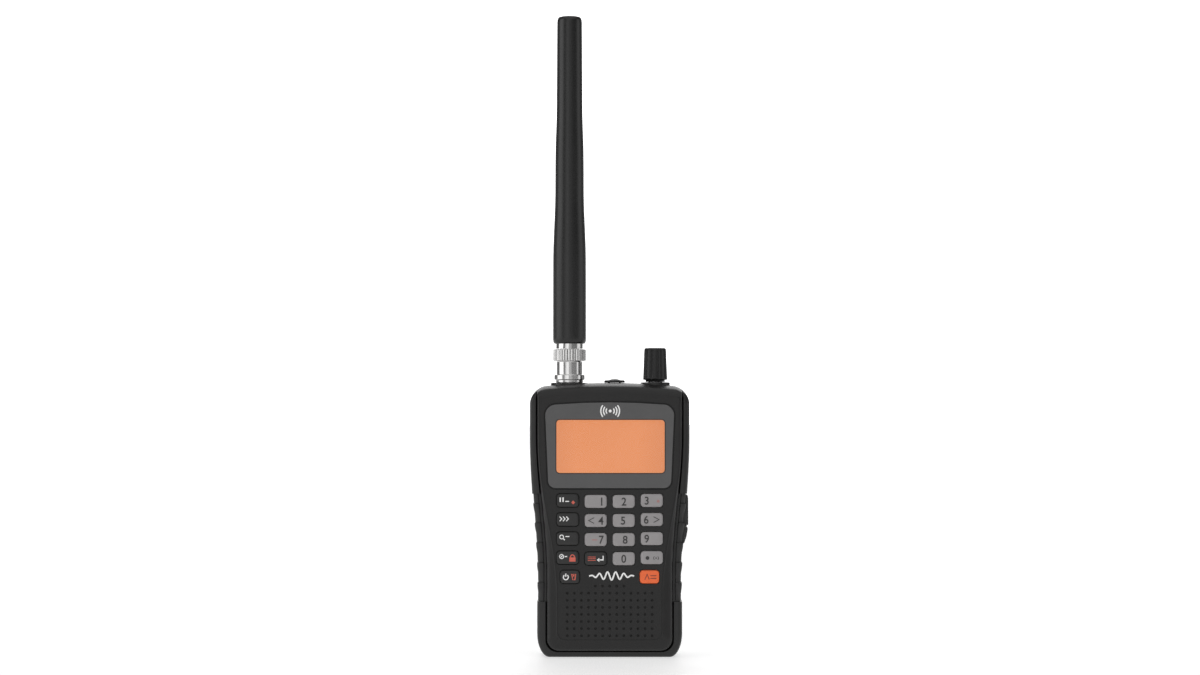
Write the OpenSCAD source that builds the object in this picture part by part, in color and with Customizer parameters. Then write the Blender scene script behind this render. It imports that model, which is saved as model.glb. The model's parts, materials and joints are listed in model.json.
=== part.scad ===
// Handheld radio scanner: two-part case, sliding keys, volume knob, bayonet whip antenna,
// swinging socket cover, sliding battery door and sprung belt clip.
// +Z is up, the display faces -Y, and the origin is the centre of the case's flat base.

/* [Case] */
// Width of the case at the display
body_w = 67; // [66:0.5:68]
// Height of the case without the antenna and knob
body_h = 115; // [114.5:0.25:116]
// Depth of the case from the front panel to the back wall
body_d = 32.5; // [32:0.25:34]
// Width of the case at the waist, below the keys
waist_w = 60.8; // [60:0.2:62]
// Thickness of the rear case's walls
wall = 2; // [1.9:0.05:2.1]
// Thickness of the front panel
panel_t = 1.8; // [1.6:0.05:1.8]

/* [Keys] */
// Width of a key cap
key_w = 9.2; // [8.6:0.1:9.4]
// Height of a key cap
key_h = 5.45; // [5:0.05:5.6]
// Distance between columns of keys
key_pitch_x = 11.7; // [11.5:0.1:11.9]
// Distance between rows of keys
key_pitch_z = 7.95; // [7.7:0.05:8]
// How far a key travels when pressed
key_travel = 0.8; // [0.5:0.1:0.8]
// Gap between a key cap and its hole in the panel
key_gap = 0.25; // [0.2:0.05:0.3]

/* [Display] */
// Width of the display window at its top
window_w = 54; // [52:0.5:54]
// Height of the display window
window_h = 36; // [34:0.5:36]
// Width of the clear area of the display
lcd_w = 45.3; // [44:0.1:46]
// Height of the clear area of the display
lcd_h = 22.2; // [21:0.1:23]

/* [Antenna] */
// Length of the rubber whip
whip_l = 138.5; // [100:0.5:160]
// Diameter of the whip at its root
whip_d = 13.8; // [13:0.1:14]
// Diameter of the bayonet nut's knurl
nut_d = 14; // [13.5:0.1:14.5]
// Turns in the whip's wire coil
coil_turns = 28; // [20:1:32]

/* [Speaker] */
// Diameter of the speaker
speaker_d = 23.6; // [22:0.2:23.6]
// Distance between the holes of the speaker grille
grille_pitch = 2.95; // [2.8:0.05:3]
// Diameter of a grille hole
grille_hole_d = 1.1; // [0.8:0.1:1.2]

/* [Hidden] */
$fn = 48;

y_front = -body_d / 2;             // face of the front panel
y_back = body_d / 2;               // face of the back wall
y_inside = y_front + panel_t;      // inner face of the front panel
y_rim = y_front + 4.4;             // front edge of the rear case's rim
y_seam = y_front + 8.4;            // where the front case's top wall meets the rear case's
y_top_parts = 0.5;                 // depth of the connector, socket and knob on the top wall
eps = 0.01;

// Side profile of the case: it narrows smoothly from the shoulder to the waist
waist_z = 30;
shoulder_z = 92;
base_corner_w = 5.2;
base_corner_h = 10;
top_corner_r = 7.6;
crown_r = 294;

// Keys: columns at plus and minus half and one and a half pitches, rows up from the lowest full one
row_4_z = 41.9;
inner_drop = 0.4;                  // the two middle columns sit a little lower
key_proud = 0.7;
key_flange = 0.7;
key_corner_r = 1.4;
flange_y = y_inside + 0.1;
flange_t = 0.6;
pill_end_y = y_front + 5.05;
short_key_w = 8;
board_y = y_front + 5.95;          // front face of the key board
board_t = 1.2;
main_y = y_front + 10.45;          // front face of the main board

// Display
window_z = 70.8;
window_foot_w = window_w - 2.4;
window_depth = 1.1;
lcd_x = 0.5;
lcd_z = 88.3;

// Speaker
speaker_z = 18.5;
grille_z = 9.4;
grille_columns = 13;
grille_rows = 7;
grille_crown_holes = 5;

// Top wall fittings
jack_x = -16.95;
socket_x = 2.1;
knob_x = 19.3;
boss_z = body_h;                   // flat top of the bosses under the connector and the knob
jack_barrel_r = 4.42;
lug_z = boss_z + 2.5;
lug_r = 0.75;
nut_foot_z = boss_z + 0.65;
knurl_z = boss_z + 9.4;
nut_top_z = boss_z + 14.3;
whip_z = boss_z + 16.8;

// Battery bay and door
cell_r = 7.1;
cell_l = 50.5;
cell_x = 7.9;
bay_half_w = 16.4;
bay_foot_z = 3;
bay_top_z = 58.4;
bay_front_y = -0.6;
bay_wall = 1.3;
plate_t = 0.4;
cell_y = bay_front_y + 7.5;
door_y = y_back - wall + 0.05;     // inner face of the door
door_half_w = 17;
door_top_z = 56.4;
door_gap = 0.1;
tongue = 0.7;
catch_half_w = 3.4;

// Belt clip
pin_y = y_back + 4.15;
pin_z = 96;
knuckle_r = 2.6;

// Grips
grip_foot_z = 23.2;
grip_top_z = 68.4;
grip_depth = 1.1;
grip_back_y = 9;
grip_notches = 5;
grip_pitch = 8.35;
grip_notch_z = grip_top_z - 4;      // the highest notch

// Charging socket and the flap that covers it, let into the right grip
usb_y = main_y + board_t + 1.9;    // the socket stands on the back of the main board
usb_z = 62;
usb_x = half_width(usb_z) - 1.4;   // mouth of the charging socket
flap_foot_z = 47.6;
flap_half_y = 6;
flap_x = 33;                       // outer face of the flap
flap_pin_x = 32.25;
flap_pin_z = 67.2;

// ---- outlines in the X-Z plane, listed anticlockwise as seen from the front ----

function smooth(t) = let (u = max(0, min(1, t))) u * u * (3 - 2 * u);
function mirrored(right) = concat(right,
    [for (i = [len(right) - 1:-1:0]) if (right[i].x > 0) [-right[i].x, right[i].y]]);
function arc(cx, cz, rx, rz, a0, a1, n) =
    [for (i = [0:n]) let (a = a0 + (a1 - a0) * i / n) [cx + rx * cos(a), cz + rz * sin(a)]];
function inset(pts, d) = let (n = len(pts)) [for (i = [0:n - 1])
    let (t = pts[(i + 1) % n] - pts[(i + n - 1) % n]) pts[i] + d * [-t.y, t.x] / norm(t)];

function half_width(z) =
    waist_w / 2 + (body_w - waist_w) / 2 * smooth((z - waist_z) / (shoulder_z - waist_z));
top_corner_x = body_w / 2 - top_corner_r;
crown_c = body_h - crown_r;
top_corner_z = crown_c + sqrt(pow(crown_r - top_corner_r, 2) - pow(top_corner_x, 2));
top_corner_a = atan2(top_corner_z - crown_c, top_corner_x);
function crown(x) = crown_c + sqrt(crown_r * crown_r - x * x);
crown_edge_x = top_corner_x + top_corner_r * cos(top_corner_a);
side_steps = 9;
crown_steps = 4;
case_outline = mirrored(concat(
    arc(half_width(0) - base_corner_w, base_corner_h, base_corner_w, base_corner_h, -90, 0, 7),
    [for (i = [0:side_steps])
        let (z = waist_z + (shoulder_z - waist_z) * i / side_steps) [half_width(z), z]],
    arc(top_corner_x, top_corner_z, top_corner_r, top_corner_r, 0, top_corner_a, 6),
    [for (i = [1:crown_steps]) let (x = crown_edge_x * (1 - i / crown_steps)) [x, crown(x)]]));

// The front panel's ridge, and the seam where it meets the rear case's rim. Both run past the top.
function ridge_half(z) = 22.3 + 7.5 * smooth((z - 26) / 62);
function seam_half(z) = 26.3 + 4.1 * smooth((z - 34) / 60);
seam_foot_z = 2.8;
ridge_foot_z = 7.3;
panel_steps = 9;
function panel_outline(share, foot, d) = let (r = 3.4 + 1.6 * share)
    mirrored(concat(
        arc(ridge_half(foot) * (1 - share) + seam_half(foot) * share - d - r, foot + d + r,
            r, r, -90, 0, 4),
        [for (i = [0:panel_steps]) let (z = 26 + 8 * share + (62 - 2 * share) * i / panel_steps)
            [ridge_half(z) * (1 - share) + seam_half(z) * share - d, z]],
        [[ridge_half(body_h) * (1 - share) + seam_half(body_h) * share - d, body_h + 5]]));
function seam_outline(d) = panel_outline(1, seam_foot_z, d);

function round_rect(x, z, w, h, r, n = 4) = concat(
    arc(x + w / 2 - r, z - h / 2 + r, r, r, -90, 0, n),
    arc(x + w / 2 - r, z + h / 2 - r, r, r, 0, 90, n),
    arc(x - w / 2 + r, z + h / 2 - r, r, r, 90, 180, n),
    arc(x - w / 2 + r, z - h / 2 + r, r, r, 180, 270, n));

window_outline = mirrored(concat(
    arc(window_foot_w / 2 - 3.2, window_z + 3.2, 3.2, 3.2, -90, -4, 5),
    arc(window_w / 2 - 4.6, window_z + window_h - 5.5, 4.6, 4.6, 0, 86, 6),
    [[window_w / 5, window_z + window_h - 0.2], [0, window_z + window_h]]));

// ---- shared solids ----

module box(x0, x1, y0, y1, z0, z1) {
    translate([x0, y0, z0]) cube([x1 - x0, y1 - y0, z1 - z0]);
}

module plate(pts, y0, y1) {
    translate([0, y1, 0]) rotate([90, 0, 0]) linear_extrude(height = y1 - y0) polygon(pts);
}

module rod_y(x, z, r, y0, y1) {
    translate([x, y0, z]) rotate([-90, 0, 0]) cylinder(r = r, h = y1 - y0);
}

module rod_z(x, y, r, z0, z1) {
    translate([x, y, z0]) cylinder(r = r, h = z1 - z0);
}

module rod_x(y, z, r, x0, x1) {
    translate([x0, y, z]) rotate([0, 90, 0]) cylinder(r = r, h = x1 - x0);
}

// A closed skin through rings of points: each ring is a list of [x, z] at its own depth y
module loft(rings, depths) {
    n = len(rings[0]);
    last = len(rings) - 1;
    polyhedron(
        points = [for (k = [0:last]) for (p = rings[k]) [p.x, depths[k], p.y]],
        faces = concat(
            [[for (i = [n - 1:-1:0]) i]],
            [for (k = [0:last - 1]) for (i = [0:n - 1]) let (j = (i + 1) % n)
                [k * n + i, k * n + j, (k + 1) * n + j, (k + 1) * n + i]],
            [[for (i = [0:n - 1]) last * n + i]]),
        convexity = 6);
}

// The case's outer form between two depths, with rounded ends, shrunk all over by d
module body_block(y0, y1, r0, r1, d = 0) {
    turns = [90, 60, 30, 0];
    loft(
        concat([for (a = turns) inset(case_outline, d + (r0 - d) * (1 - cos(a)))],
            [for (i = [3:-1:0]) inset(case_outline, d + (r1 - d) * (1 - cos(turns[i])))]),
        concat([for (a = turns) y0 + d + (r0 - d) * (1 - sin(a))],
            [for (i = [3:-1:0]) y1 - d - (r1 - d) * (1 - sin(turns[i]))]));
}

module rear_block(d = 0) {
    body_block(y_rim, y_back, 1.9, 2.4, d);
}

// A round wire that follows points [x, y, z]
module wire(path, r, sides) {
    n = len(path);
    polyhedron(
        points = [for (i = [0:n - 1])
            let (t = path[min(i + 1, n - 1)] - path[max(i - 1, 0)],
                up = abs(t.z) > 0.9 * norm(t) ? [1, 0, 0] : [0, 0, 1],
                u = cross(t, up) / norm(cross(t, up)), v = cross(t, u) / norm(t))
            for (k = [0:sides - 1]) path[i] + r * (u * cos(360 * k / sides) + v * sin(360 * k / sides))],
        faces = concat(
            [[for (k = [0:sides - 1]) k]],
            [for (i = [0:n - 2]) for (k = [0:sides - 1]) let (m = (k + 1) % sides)
                [i * sides + k, (i + 1) * sides + k, (i + 1) * sides + m, i * sides + m]],
            [[for (k = [sides - 1:-1:0]) (n - 1) * sides + k]]),
        convexity = 10);
}

// ---- case ----

screw_posts = [[27.3, 99], [-27.3, 99], [20.6, 12], [-20.6, 12]];
screw_y = y_front + 9.5;           // where the front posts meet the rear ones

module front_case() color([0.16, 0.155, 0.155]) {
    grille_x0 = -grille_pitch * (grille_columns - 1) / 2;
    difference() {
        union() {
            difference() {
                intersection() {
                    body_block(y_front, y_back, 2.4, 2.4);
                    union() {
                        loft([panel_outline(0, ridge_foot_z, 0.6), panel_outline(0, ridge_foot_z - 0.4, 0),
                                panel_outline(1, seam_foot_z + 1.4, 0.9), seam_outline(0), seam_outline(0)],
                            [y_front - 0.3, y_front + 0.3, y_front + 2, y_rim - 0.5, y_rim + 2.6]);
                        box(-30.3, 30.3, y_rim + 2, y_seam, 106, body_h + 5);
                    }
                }
                intersection() {
                    plate(seam_outline(3.2), y_inside, y_rim - 0.7);
                    plate(inset(case_outline, wall), y_inside, y_rim);
                }
                intersection() {
                    plate(seam_outline(1.5), y_rim - 0.8, y_seam + 1);
                    plate(inset(case_outline, wall), y_inside, y_seam + 1);
                }
            }
            for (p = screw_posts) rod_y(p.x, p.y, 2.2, y_inside - 0.3, screw_y);
        }
        plate(inset(window_outline, -0.1), y_front - 1, y_front + window_depth);
        plate(round_rect(lcd_x, lcd_z, lcd_w + 1.6, lcd_h + 1.6, 2), y_front - 1, y_inside + 1);
        for (k = KEYS) plate(
            round_rect(k[1], k[2], k[3] + 2 * key_gap, key_h + 2 * key_gap, key_corner_r + key_gap),
            y_front - 1, y_inside + 1);
        for (c = [0:grille_columns - 1]) for (r = [0:grille_rows])
            if (r < grille_rows || abs(c - (grille_columns - 1) / 2) <= (grille_crown_holes - 1) / 2)
                translate([grille_x0 + c * grille_pitch, y_front - 1, grille_z + r * grille_pitch])
                    rotate([-90, 22.5, 0]) cylinder(d = grille_hole_d, h = panel_t + 2, $fn = 8);
        for (p = screw_posts) rod_y(p.x, p.y, 0.9, y_inside + 1.2, screw_y + 1);
    }
}

module grip_zone(side, gap) {
    x0 = side < 0 ? -body_w / 2 - 2 : 20;
    x1 = side < 0 ? -20 : body_w / 2 + 2;
    box(x0, x1, y_rim - 3, grip_back_y - gap, grip_foot_z + gap, grip_top_z - gap);
}

module rim_opening(d) {
    loft([seam_outline(-0.95 - d), seam_outline(-0.15 - d), seam_outline(-0.15 - d)],
        [y_rim - eps, y_rim + 1, y_rim + 2.8]);
    plate(seam_outline(-0.95 - d), y_rim - 3, y_rim);
}

module grip(side) color([0.13, 0.13, 0.135]) {
    difference() {
        intersection() {
            rear_block(0.1);
            grip_zone(side, 0.1);
        }
        rear_block(grip_depth);
        rim_opening(0);
        for (i = [0:grip_notches - 1]) let (z = grip_notch_z - i * grip_pitch) {
            translate([side * (half_width(z) + 1.05), -20, z])
                rotate([-90, 0, 0]) cylinder(r = 1.7, h = 40, $fn = 24);
            translate([side * 18, y_rim - 1.05, z])
                rotate([0, side * 90, 0]) cylinder(r = 1.7, h = 20, $fn = 24);
        }
    }
}

module left_grip() grip(-1);

module right_grip() difference() {
    grip(1);
    half = flap_half_y + 0.1;
    box(20, 40, usb_y - half, usb_y + half, flap_foot_z - 0.1, grip_top_z + 1);
}

// Flap over the charging socket: it pivots at its top and has a finger notch above its pull tab
module port_cover() color([0.13, 0.13, 0.135]) difference() {
    union() {
        plate([[flap_pin_x, flap_pin_z], [29, flap_pin_z], [29, flap_foot_z], [31.3, flap_foot_z],
            [32.3, 50.5], [32.75, 53.2], [32.75, 54.1], [32.1, 54.7], [flap_x, 55.5],
            [flap_x, flap_pin_z - 0.8], [32.87, flap_pin_z]],
            usb_y - flap_half_y, usb_y + flap_half_y);
        translate([flap_pin_x, usb_y - flap_half_y, flap_pin_z]) rotate([-90, 0, 0])
            cylinder(r = 0.62, h = 2 * flap_half_y);
    }
    rear_block(grip_depth - 0.1);
}

module rear_case() color([0.15, 0.147, 0.147]) {
    rear_screw_r = 1.35;
    difference() {
        union() {
            difference() {
                rear_block();
                rim_opening(0);
                plate(inset(case_outline, wall), y_rim + 2.7, y_back - wall);
                box(-30.45, 30.45, y_front - 1, y_seam + 0.1, body_h - 10, body_h + 2);
                for (side = [-1, 1]) difference() {
                    grip_zone(side, 0);
                    rear_block(grip_depth);
                }
            }
            rod_z(jack_x, y_top_parts, 7.9, body_h - 3, boss_z);
            rod_z(knob_x, y_top_parts, 6.2, body_h - 3, boss_z + 0.2);
            for (x = [socket_x - 2.8, socket_x + 1.8]) {
                rod_x(cover_hinge_y, body_h + 0.5, 0.6, x, x + 1);
                box(x, x + 1, cover_hinge_y - 0.6, cover_hinge_y + 0.6, body_h - 1, body_h + 0.5);
            }
            box(-bay_half_w - bay_wall, bay_half_w + bay_wall, bay_front_y - bay_wall, y_back - wall + eps,
                wall - eps, bay_top_z + bay_wall);
            for (p = screw_posts) rod_y(p.x, p.y, 2.6, screw_y + 0.15, y_back - wall + eps);
            for (x = [-5, 5]) rod_y(x, 88, 2.4, y_back - 6, y_back - wall + eps);
        }
        // battery bay, door opening and the grooves that hold the door
        box(-bay_half_w, bay_half_w, bay_front_y, y_back - wall, bay_foot_z, bay_top_z);
        opening_half_w = door_half_w + door_gap;
        box(-opening_half_w, opening_half_w, door_y - 0.1, y_back + 1, -1, door_top_z + door_gap);
        box(-opening_half_w - tongue, opening_half_w + tongue, door_y - 0.1, door_y + 0.85, -1, 54.1);
        box(-catch_half_w - 0.2, catch_half_w + 0.2, door_y - 1.2, y_back + 1, -1, bay_foot_z + 1);
        // holes in the top wall
        rod_z(jack_x, y_top_parts, 4.8, body_h - 6, body_h + 2);
        rod_z(socket_x, y_top_parts, 3.1, body_h - 6, body_h + 2);
        rod_z(knob_x, y_top_parts, 3.6, body_h - 6, body_h + 2);
        // screw holes from the back
        for (p = screw_posts) {
            rod_y(p.x, p.y, rear_screw_r, screw_y, y_back + 1);
            rod_y(p.x, p.y, 2.1, y_back - 3.4, y_back + 1);
        }
        for (x = [-5, 5]) rod_y(x, 88, 0.95, y_back - 5, y_back + 1);
        // charging socket
        plate_x(round_rect(usb_y, usb_z, 4.5, 8.3, 0.8), usb_x - 2, usb_x + 3);
    }
}

// A plate in the Y-Z plane between two X positions
module plate_x(pts, x0, x1) {
    translate([x0, 0, 0]) rotate([90, 0, 90]) linear_extrude(height = x1 - x0) polygon(pts);
}

module battery_door() color([0.15, 0.147, 0.147]) difference() {
    union() {
        intersection() {
            rear_block();
            box(-door_half_w, door_half_w, door_y, y_back + 1, -1, door_top_z);
        }
        box(-door_half_w - tongue, door_half_w + tongue, door_y, door_y + 0.75, 3, 54);
        box(-catch_half_w, catch_half_w, door_y - 1, door_y + eps, door_top_z - 3, door_top_z);
        box(-catch_half_w, catch_half_w, door_y - 1, door_y - 0.2, door_top_z - 1, door_top_z + 1.2);
    }
    for (i = [0:4]) box(-6 + i * 0.8, 6 - i * 0.8, y_back - 0.5, y_back + 1, 49 - i * 1.8, 49.8 - i * 1.8);
}

module display_window() color([0.3, 0.3, 0.31]) {
    plate(window_outline, y_front + 0.1, y_front + window_depth);
}

// ---- display and boards ----

module lcd_glass() color([0.9, 0.58, 0.36]) {
    plate(round_rect(lcd_x, lcd_z, 49, 28, 0.6), y_inside + 0.1, y_inside + 1.8);
}

module lcd_holder() color([0.85, 0.85, 0.82]) difference() {
    plate(round_rect(lcd_x, lcd_z, 49, 30, 0.8), y_inside + 1.9, board_y);
    box(lcd_x - 22, lcd_x + 22, board_y - 1.2, board_y + 1, lcd_z - 12, lcd_z + 12);
}

module keypad_mat() color([0.3, 0.3, 0.31]) difference() {
    plate(round_rect(0, 50.3, 45.6, 39.4, 2.4), y_front + 3.55, board_y);
    plate(round_rect(0, 50.3, 43.4, 37.2, 1.6), y_front + 4.35, board_y + 1);
    for (k = KEYS) plate(round_rect(k[1], k[2], k[3] - 3, key_h - 1.4, 0.6), y_front + 3, board_y + 1);
}

module key_board() color([0.08, 0.3, 0.16]) difference() {
    plate(round_rect(0, 69.3, 48.4, 76, 1.5), board_y, board_y + board_t);
    for (p = board_screw_holes) rod_y(p.x, p.y, 1.05, board_y - 1, board_y + board_t + 1);
}

board_screw_holes = [[22, 33.4], [-22, 33.4], [22, 99.5], [-22, 99.5]];

module main_board() color([0.08, 0.3, 0.16]) difference() {
    plate(round_rect(0, 65.5, 47.6, 81, 1.5), main_y, main_y + board_t);
    for (p = board_screw_holes) rod_y(p.x, p.y, 1.05, main_y - 1, main_y + board_t + 1);
}

// Screws with long spacers that tie the two boards together
module board_screws() color([0.7, 0.7, 0.72]) for (p = board_screw_holes) difference() {
    union() {
        rod_y(p.x, p.y, 1, board_y, main_y + board_t + 0.1);
        rod_y(p.x, p.y, 1.7, board_y + board_t, main_y);
        rod_y(p.x, p.y, 1.7, main_y + board_t, main_y + board_t + 0.9);
    }
    box(p.x - 1.3, p.x + 1.3, main_y + board_t + 0.5, main_y + board_t + 1, p.y - 0.2, p.y + 0.2);
}

module rf_shield() color([0.75, 0.75, 0.77]) {
    y0 = main_y + board_t;
    difference() {
        box(-21, 1, y0, y0 + 3.4, 68, 94);
        box(-20.7, 0.7, y0 - 1, y0 + 3.1, 68.3, 93.7);
        for (x = [-17:4:-3]) for (z = [72:4.5:90]) rod_y(x, z, 0.7, y0 + 2, y0 + 4);
    }
}

// Integrated circuits, crystal and board connector, as separate solids
module board_chips() color([0.1, 0.1, 0.1]) {
    y0 = main_y;
    for (c = [[-11, 78, 12, 12], [9, 82, 9, 9], [10, 62, 8, 5], [-10, 56, 6, 6], [12, 96, 7, 5],
        [-14, 40, 8, 5]])
        box(c[0] - c[2] / 2, c[0] + c[2] / 2, y0 - 1.1, y0, c[1] - c[3] / 2, c[1] + c[3] / 2);
    box(-12, 12, board_y + board_t, y0, 46, 50);
}

module usb_port() color([0.8, 0.8, 0.82]) {
    difference() {
        plate_x(round_rect(usb_y, usb_z, 3.8, 7.6, 0.5), usb_x - 8.5, usb_x);
        plate_x(round_rect(usb_y, usb_z, 3.2, 7, 0.4), usb_x - 7.5, usb_x + 1);
    }
    box(usb_x - 7.6, usb_x - 1.2, usb_y - 0.4, usb_y + 0.4, usb_z - 2.6, usb_z + 2.6);
}

// ---- speaker ----

// Turns a profile of [radius, depth] about the speaker's axis
module turned_y(x, z, profile) {
    translate([x, 0, z]) rotate([-90, 0, 0]) rotate_extrude() polygon(profile);
}

speaker_y = y_inside + 0.3;

module speaker_cloth() color([0.1, 0.1, 0.1]) {
    rod_y(0, speaker_z, speaker_d / 2, y_inside + 0.02, speaker_y - 0.02);
}

module speaker_frame() color([0.6, 0.6, 0.62]) turned_y(0, speaker_z, [
    [speaker_d / 2, speaker_y], [speaker_d / 2, speaker_y + 1], [speaker_d / 2 - 1.2, speaker_y + 1.6],
    [6.6, speaker_y + 3.6], [2.4, speaker_y + 3.6], [2.4, speaker_y + 3.1], [6.2, speaker_y + 3.1],
    [speaker_d / 2 - 1.8, speaker_y + 1.1], [speaker_d / 2 - 1.8, speaker_y]]);

module speaker_cone() color([0.18, 0.17, 0.16]) turned_y(0, speaker_z, [
    [speaker_d / 2 - 1.9, speaker_y + 0.2], [speaker_d / 2 - 1.9, speaker_y + 0.45],
    [speaker_d / 2 - 2.8, speaker_y + 0.6], [3.4, speaker_y + 2.2], [0, speaker_y + 1.6],
    [0, speaker_y + 1.3], [3.4, speaker_y + 1.9], [speaker_d / 2 - 2.8, speaker_y + 0.3]]);

module speaker_magnet() color([0.25, 0.25, 0.26]) difference() {
    rod_y(0, speaker_z, 6.2, speaker_y + 3.62, speaker_y + 6.2);
    rod_y(0, speaker_z, 1, speaker_y + 5.2, speaker_y + 7);
}

// ---- battery ----

module battery_cells() color([0.72, 0.6, 0.3]) for (side = [-1, 1]) {
    foot = side < 0 ? bay_top_z - plate_t - cell_l : bay_foot_z + plate_t;
    nub_z = side < 0 ? foot + cell_l - 1 : foot;
    can_z = side < 0 ? foot : foot + 1;
    rod_z(side * cell_x, cell_y, cell_r, can_z, can_z + cell_l - 1);
    rod_z(side * cell_x, cell_y, 2.7, nub_z, nub_z + 1);
}

function cone_coil(x, z0, h, r0, r1, turns) = [for (i = [0:turns * 12])
    let (s = i / (turns * 12), r = r0 + (r1 - r0) * s)
    [x + r * cos(30 * i), cell_y + r * sin(30 * i), z0 + h * s]];

// Flat plates and conical springs at both ends of the bay, as separate solids
module battery_contacts() color([0.78, 0.78, 0.8]) {
    for (side = [-1, 1]) {
        box(side * cell_x - 5, side * cell_x + 5, cell_y - 5, cell_y + 5, bay_foot_z, bay_foot_z + plate_t);
        box(side * cell_x - 5, side * cell_x + 5, cell_y - 5, cell_y + 5, bay_top_z - plate_t, bay_top_z);
    }
    wire(cone_coil(-cell_x, bay_foot_z + 0.75, 3.4, 4.2, 2.4, 4), 0.3, 6);
    wire(cone_coil(cell_x, bay_top_z - 4.15, 3.4, 2.4, 4.2, 4), 0.3, 6);
}

// ---- fasteners ----

module screw(x, z, shank_r, head_r, y0, y1, head_t) {
    difference() {
        union() {
            rod_y(x, z, shank_r, y0, y1 - head_t + eps);
            rod_y(x, z, head_r, y1 - head_t, y1);
        }
        for (a = [0, 90]) translate([x, y1 - 0.7, z]) rotate([0, a, 0])
            translate([-head_r * 0.6, 0, -0.2]) cube([head_r * 1.2, 2, 0.4]);
    }
}

// Four screws close the case from the back, and two shorter ones hold the clip's bracket
module case_screws() color([0.2, 0.2, 0.2]) {
    for (p = screw_posts) screw(p.x, p.y, 0.88, 1.9, y_front + 5, y_back - 1.6, 1.7);
    for (x = [-5, 5]) screw(x, 88, 0.92, 1.9, y_back - 4.8, y_back + 1.4, 1.1);
}

// ---- top fittings ----

module antenna_jack() color([0.8, 0.8, 0.82]) {
    difference() {
        union() {
            rod_z(jack_x, y_top_parts, 4.7, body_h - 7, boss_z);
            rod_z(jack_x, y_top_parts, 5.3, boss_z, boss_z + 0.5);
            rod_z(jack_x, y_top_parts, jack_barrel_r, boss_z + 0.4, boss_z + 8.8);
            translate([jack_x - 5.45, y_top_parts, lug_z]) rotate([0, 90, 0]) cylinder(r = lug_r, h = 10.9);
        }
        rod_z(jack_x, y_top_parts, 3.5, boss_z + 2, boss_z + 10);
        rod_z(jack_x, y_top_parts, 2.6, body_h - 8, boss_z + 3);
    }
}

module jack_insulator() color([0.95, 0.95, 0.92]) difference() {
    union() {
        rod_z(jack_x, y_top_parts, 2.6, body_h - 6.8, boss_z + 2.1);
        rod_z(jack_x, y_top_parts, 3.48, boss_z + 2, boss_z + 3);
    }
    rod_z(jack_x, y_top_parts, 1.05, body_h - 8, boss_z + 4);
}

module jack_contact() color([0.85, 0.68, 0.3]) difference() {
    rod_z(jack_x, y_top_parts, 1.05, body_h - 9, boss_z + 6.4);
    rod_z(jack_x, y_top_parts, 0.78, boss_z + 2.5, boss_z + 7);
}

module jack_nut() color([0.8, 0.8, 0.82]) difference() {
    translate([jack_x, y_top_parts, body_h - 4.9]) cylinder(r = 6.6, h = 1.9, $fn = 6);
    rod_z(jack_x, y_top_parts, 4.72, body_h - 6, body_h - 2);
}

module volume_pot() color([0.35, 0.35, 0.36]) difference() {
    union() {
        box(knob_x - 4.8, knob_x + 4.8, y_top_parts - 4.8, y_top_parts + 4.8, body_h - 12, body_h - 5.2);
        rod_z(knob_x, y_top_parts, 3.5, body_h - 5.3, body_h - 0.1);
    }
    rod_z(knob_x, y_top_parts, 3.06, body_h - 7, body_h + 1);
}

module volume_shaft() color([0.75, 0.75, 0.77]) difference() {
    rod_z(knob_x, y_top_parts, 3, body_h - 6.8, body_h + 10);
    box(knob_x - 4, knob_x + 4, y_top_parts + 1.6, y_top_parts + 4, body_h + 2.5, body_h + 11);
}

knob_foot_z = boss_z + 0.35;
knob_top_z = boss_z + 14.7;
knob_flutes = 10;

module volume_knob() color([0.13, 0.13, 0.13]) difference() {
    translate([knob_x, y_top_parts, 0]) rotate_extrude() polygon([[0, knob_foot_z], [4.1, knob_foot_z],
        [4.1, knob_foot_z + 0.8], [5.2, knob_foot_z + 1.1], [4.65, knob_top_z - 0.5],
        [4.1, knob_top_z], [3.4, knob_top_z], [3.2, knob_top_z - 0.3], [0, knob_top_z - 0.3]]);
    for (i = [0:knob_flutes - 1]) translate([knob_x, y_top_parts, 0]) rotate([0, 0, i * 360 / knob_flutes])
        translate([5.5, 0, knob_foot_z]) rotate([0, -2.2, 0]) cylinder(r = 0.75, h = 15, $fn = 16);
    difference() {
        rod_z(knob_x, y_top_parts, 3, knob_foot_z - 1, body_h + 10);
        box(knob_x - 4, knob_x + 4, y_top_parts + 1.6, y_top_parts + 4, body_h + 2.5, body_h + 11);
    }
}

module earphone_jack() color([0.12, 0.12, 0.12]) difference() {
    union() {
        box(socket_x - 3.5, socket_x + 3.5, y_top_parts - 3.2, y_top_parts + 3.2,
            body_h - 16, body_h - 2.6);
        rod_z(socket_x, y_top_parts, 3, body_h - 2.7, body_h - 0.1);
    }
    rod_z(socket_x, y_top_parts, 1.8, body_h - 15, body_h + 1);
}

// Rubber flap with a domed pad over the earphone socket, hinged by its strap at the back
cover_hinge_y = y_top_parts + 6.2;
module jack_cover() color([0.1, 0.1, 0.1]) {
    translate([socket_x, y_top_parts, body_h]) rotate_extrude() polygon([[0, 0.05], [4.4, 0.05],
        [4.4, 0.8], [4.1, 1.1], [2.3, 1.1], [1.7, 1.45], [0, 1.6]]);
    box(socket_x - 1.6, socket_x + 1.6, y_top_parts + 3.5, cover_hinge_y, body_h + 0.05, body_h + 0.75);
    rod_x(cover_hinge_y, body_h + 0.5, 0.45, socket_x - 1.6, socket_x + 1.6);
}

// ---- antenna ----

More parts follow.
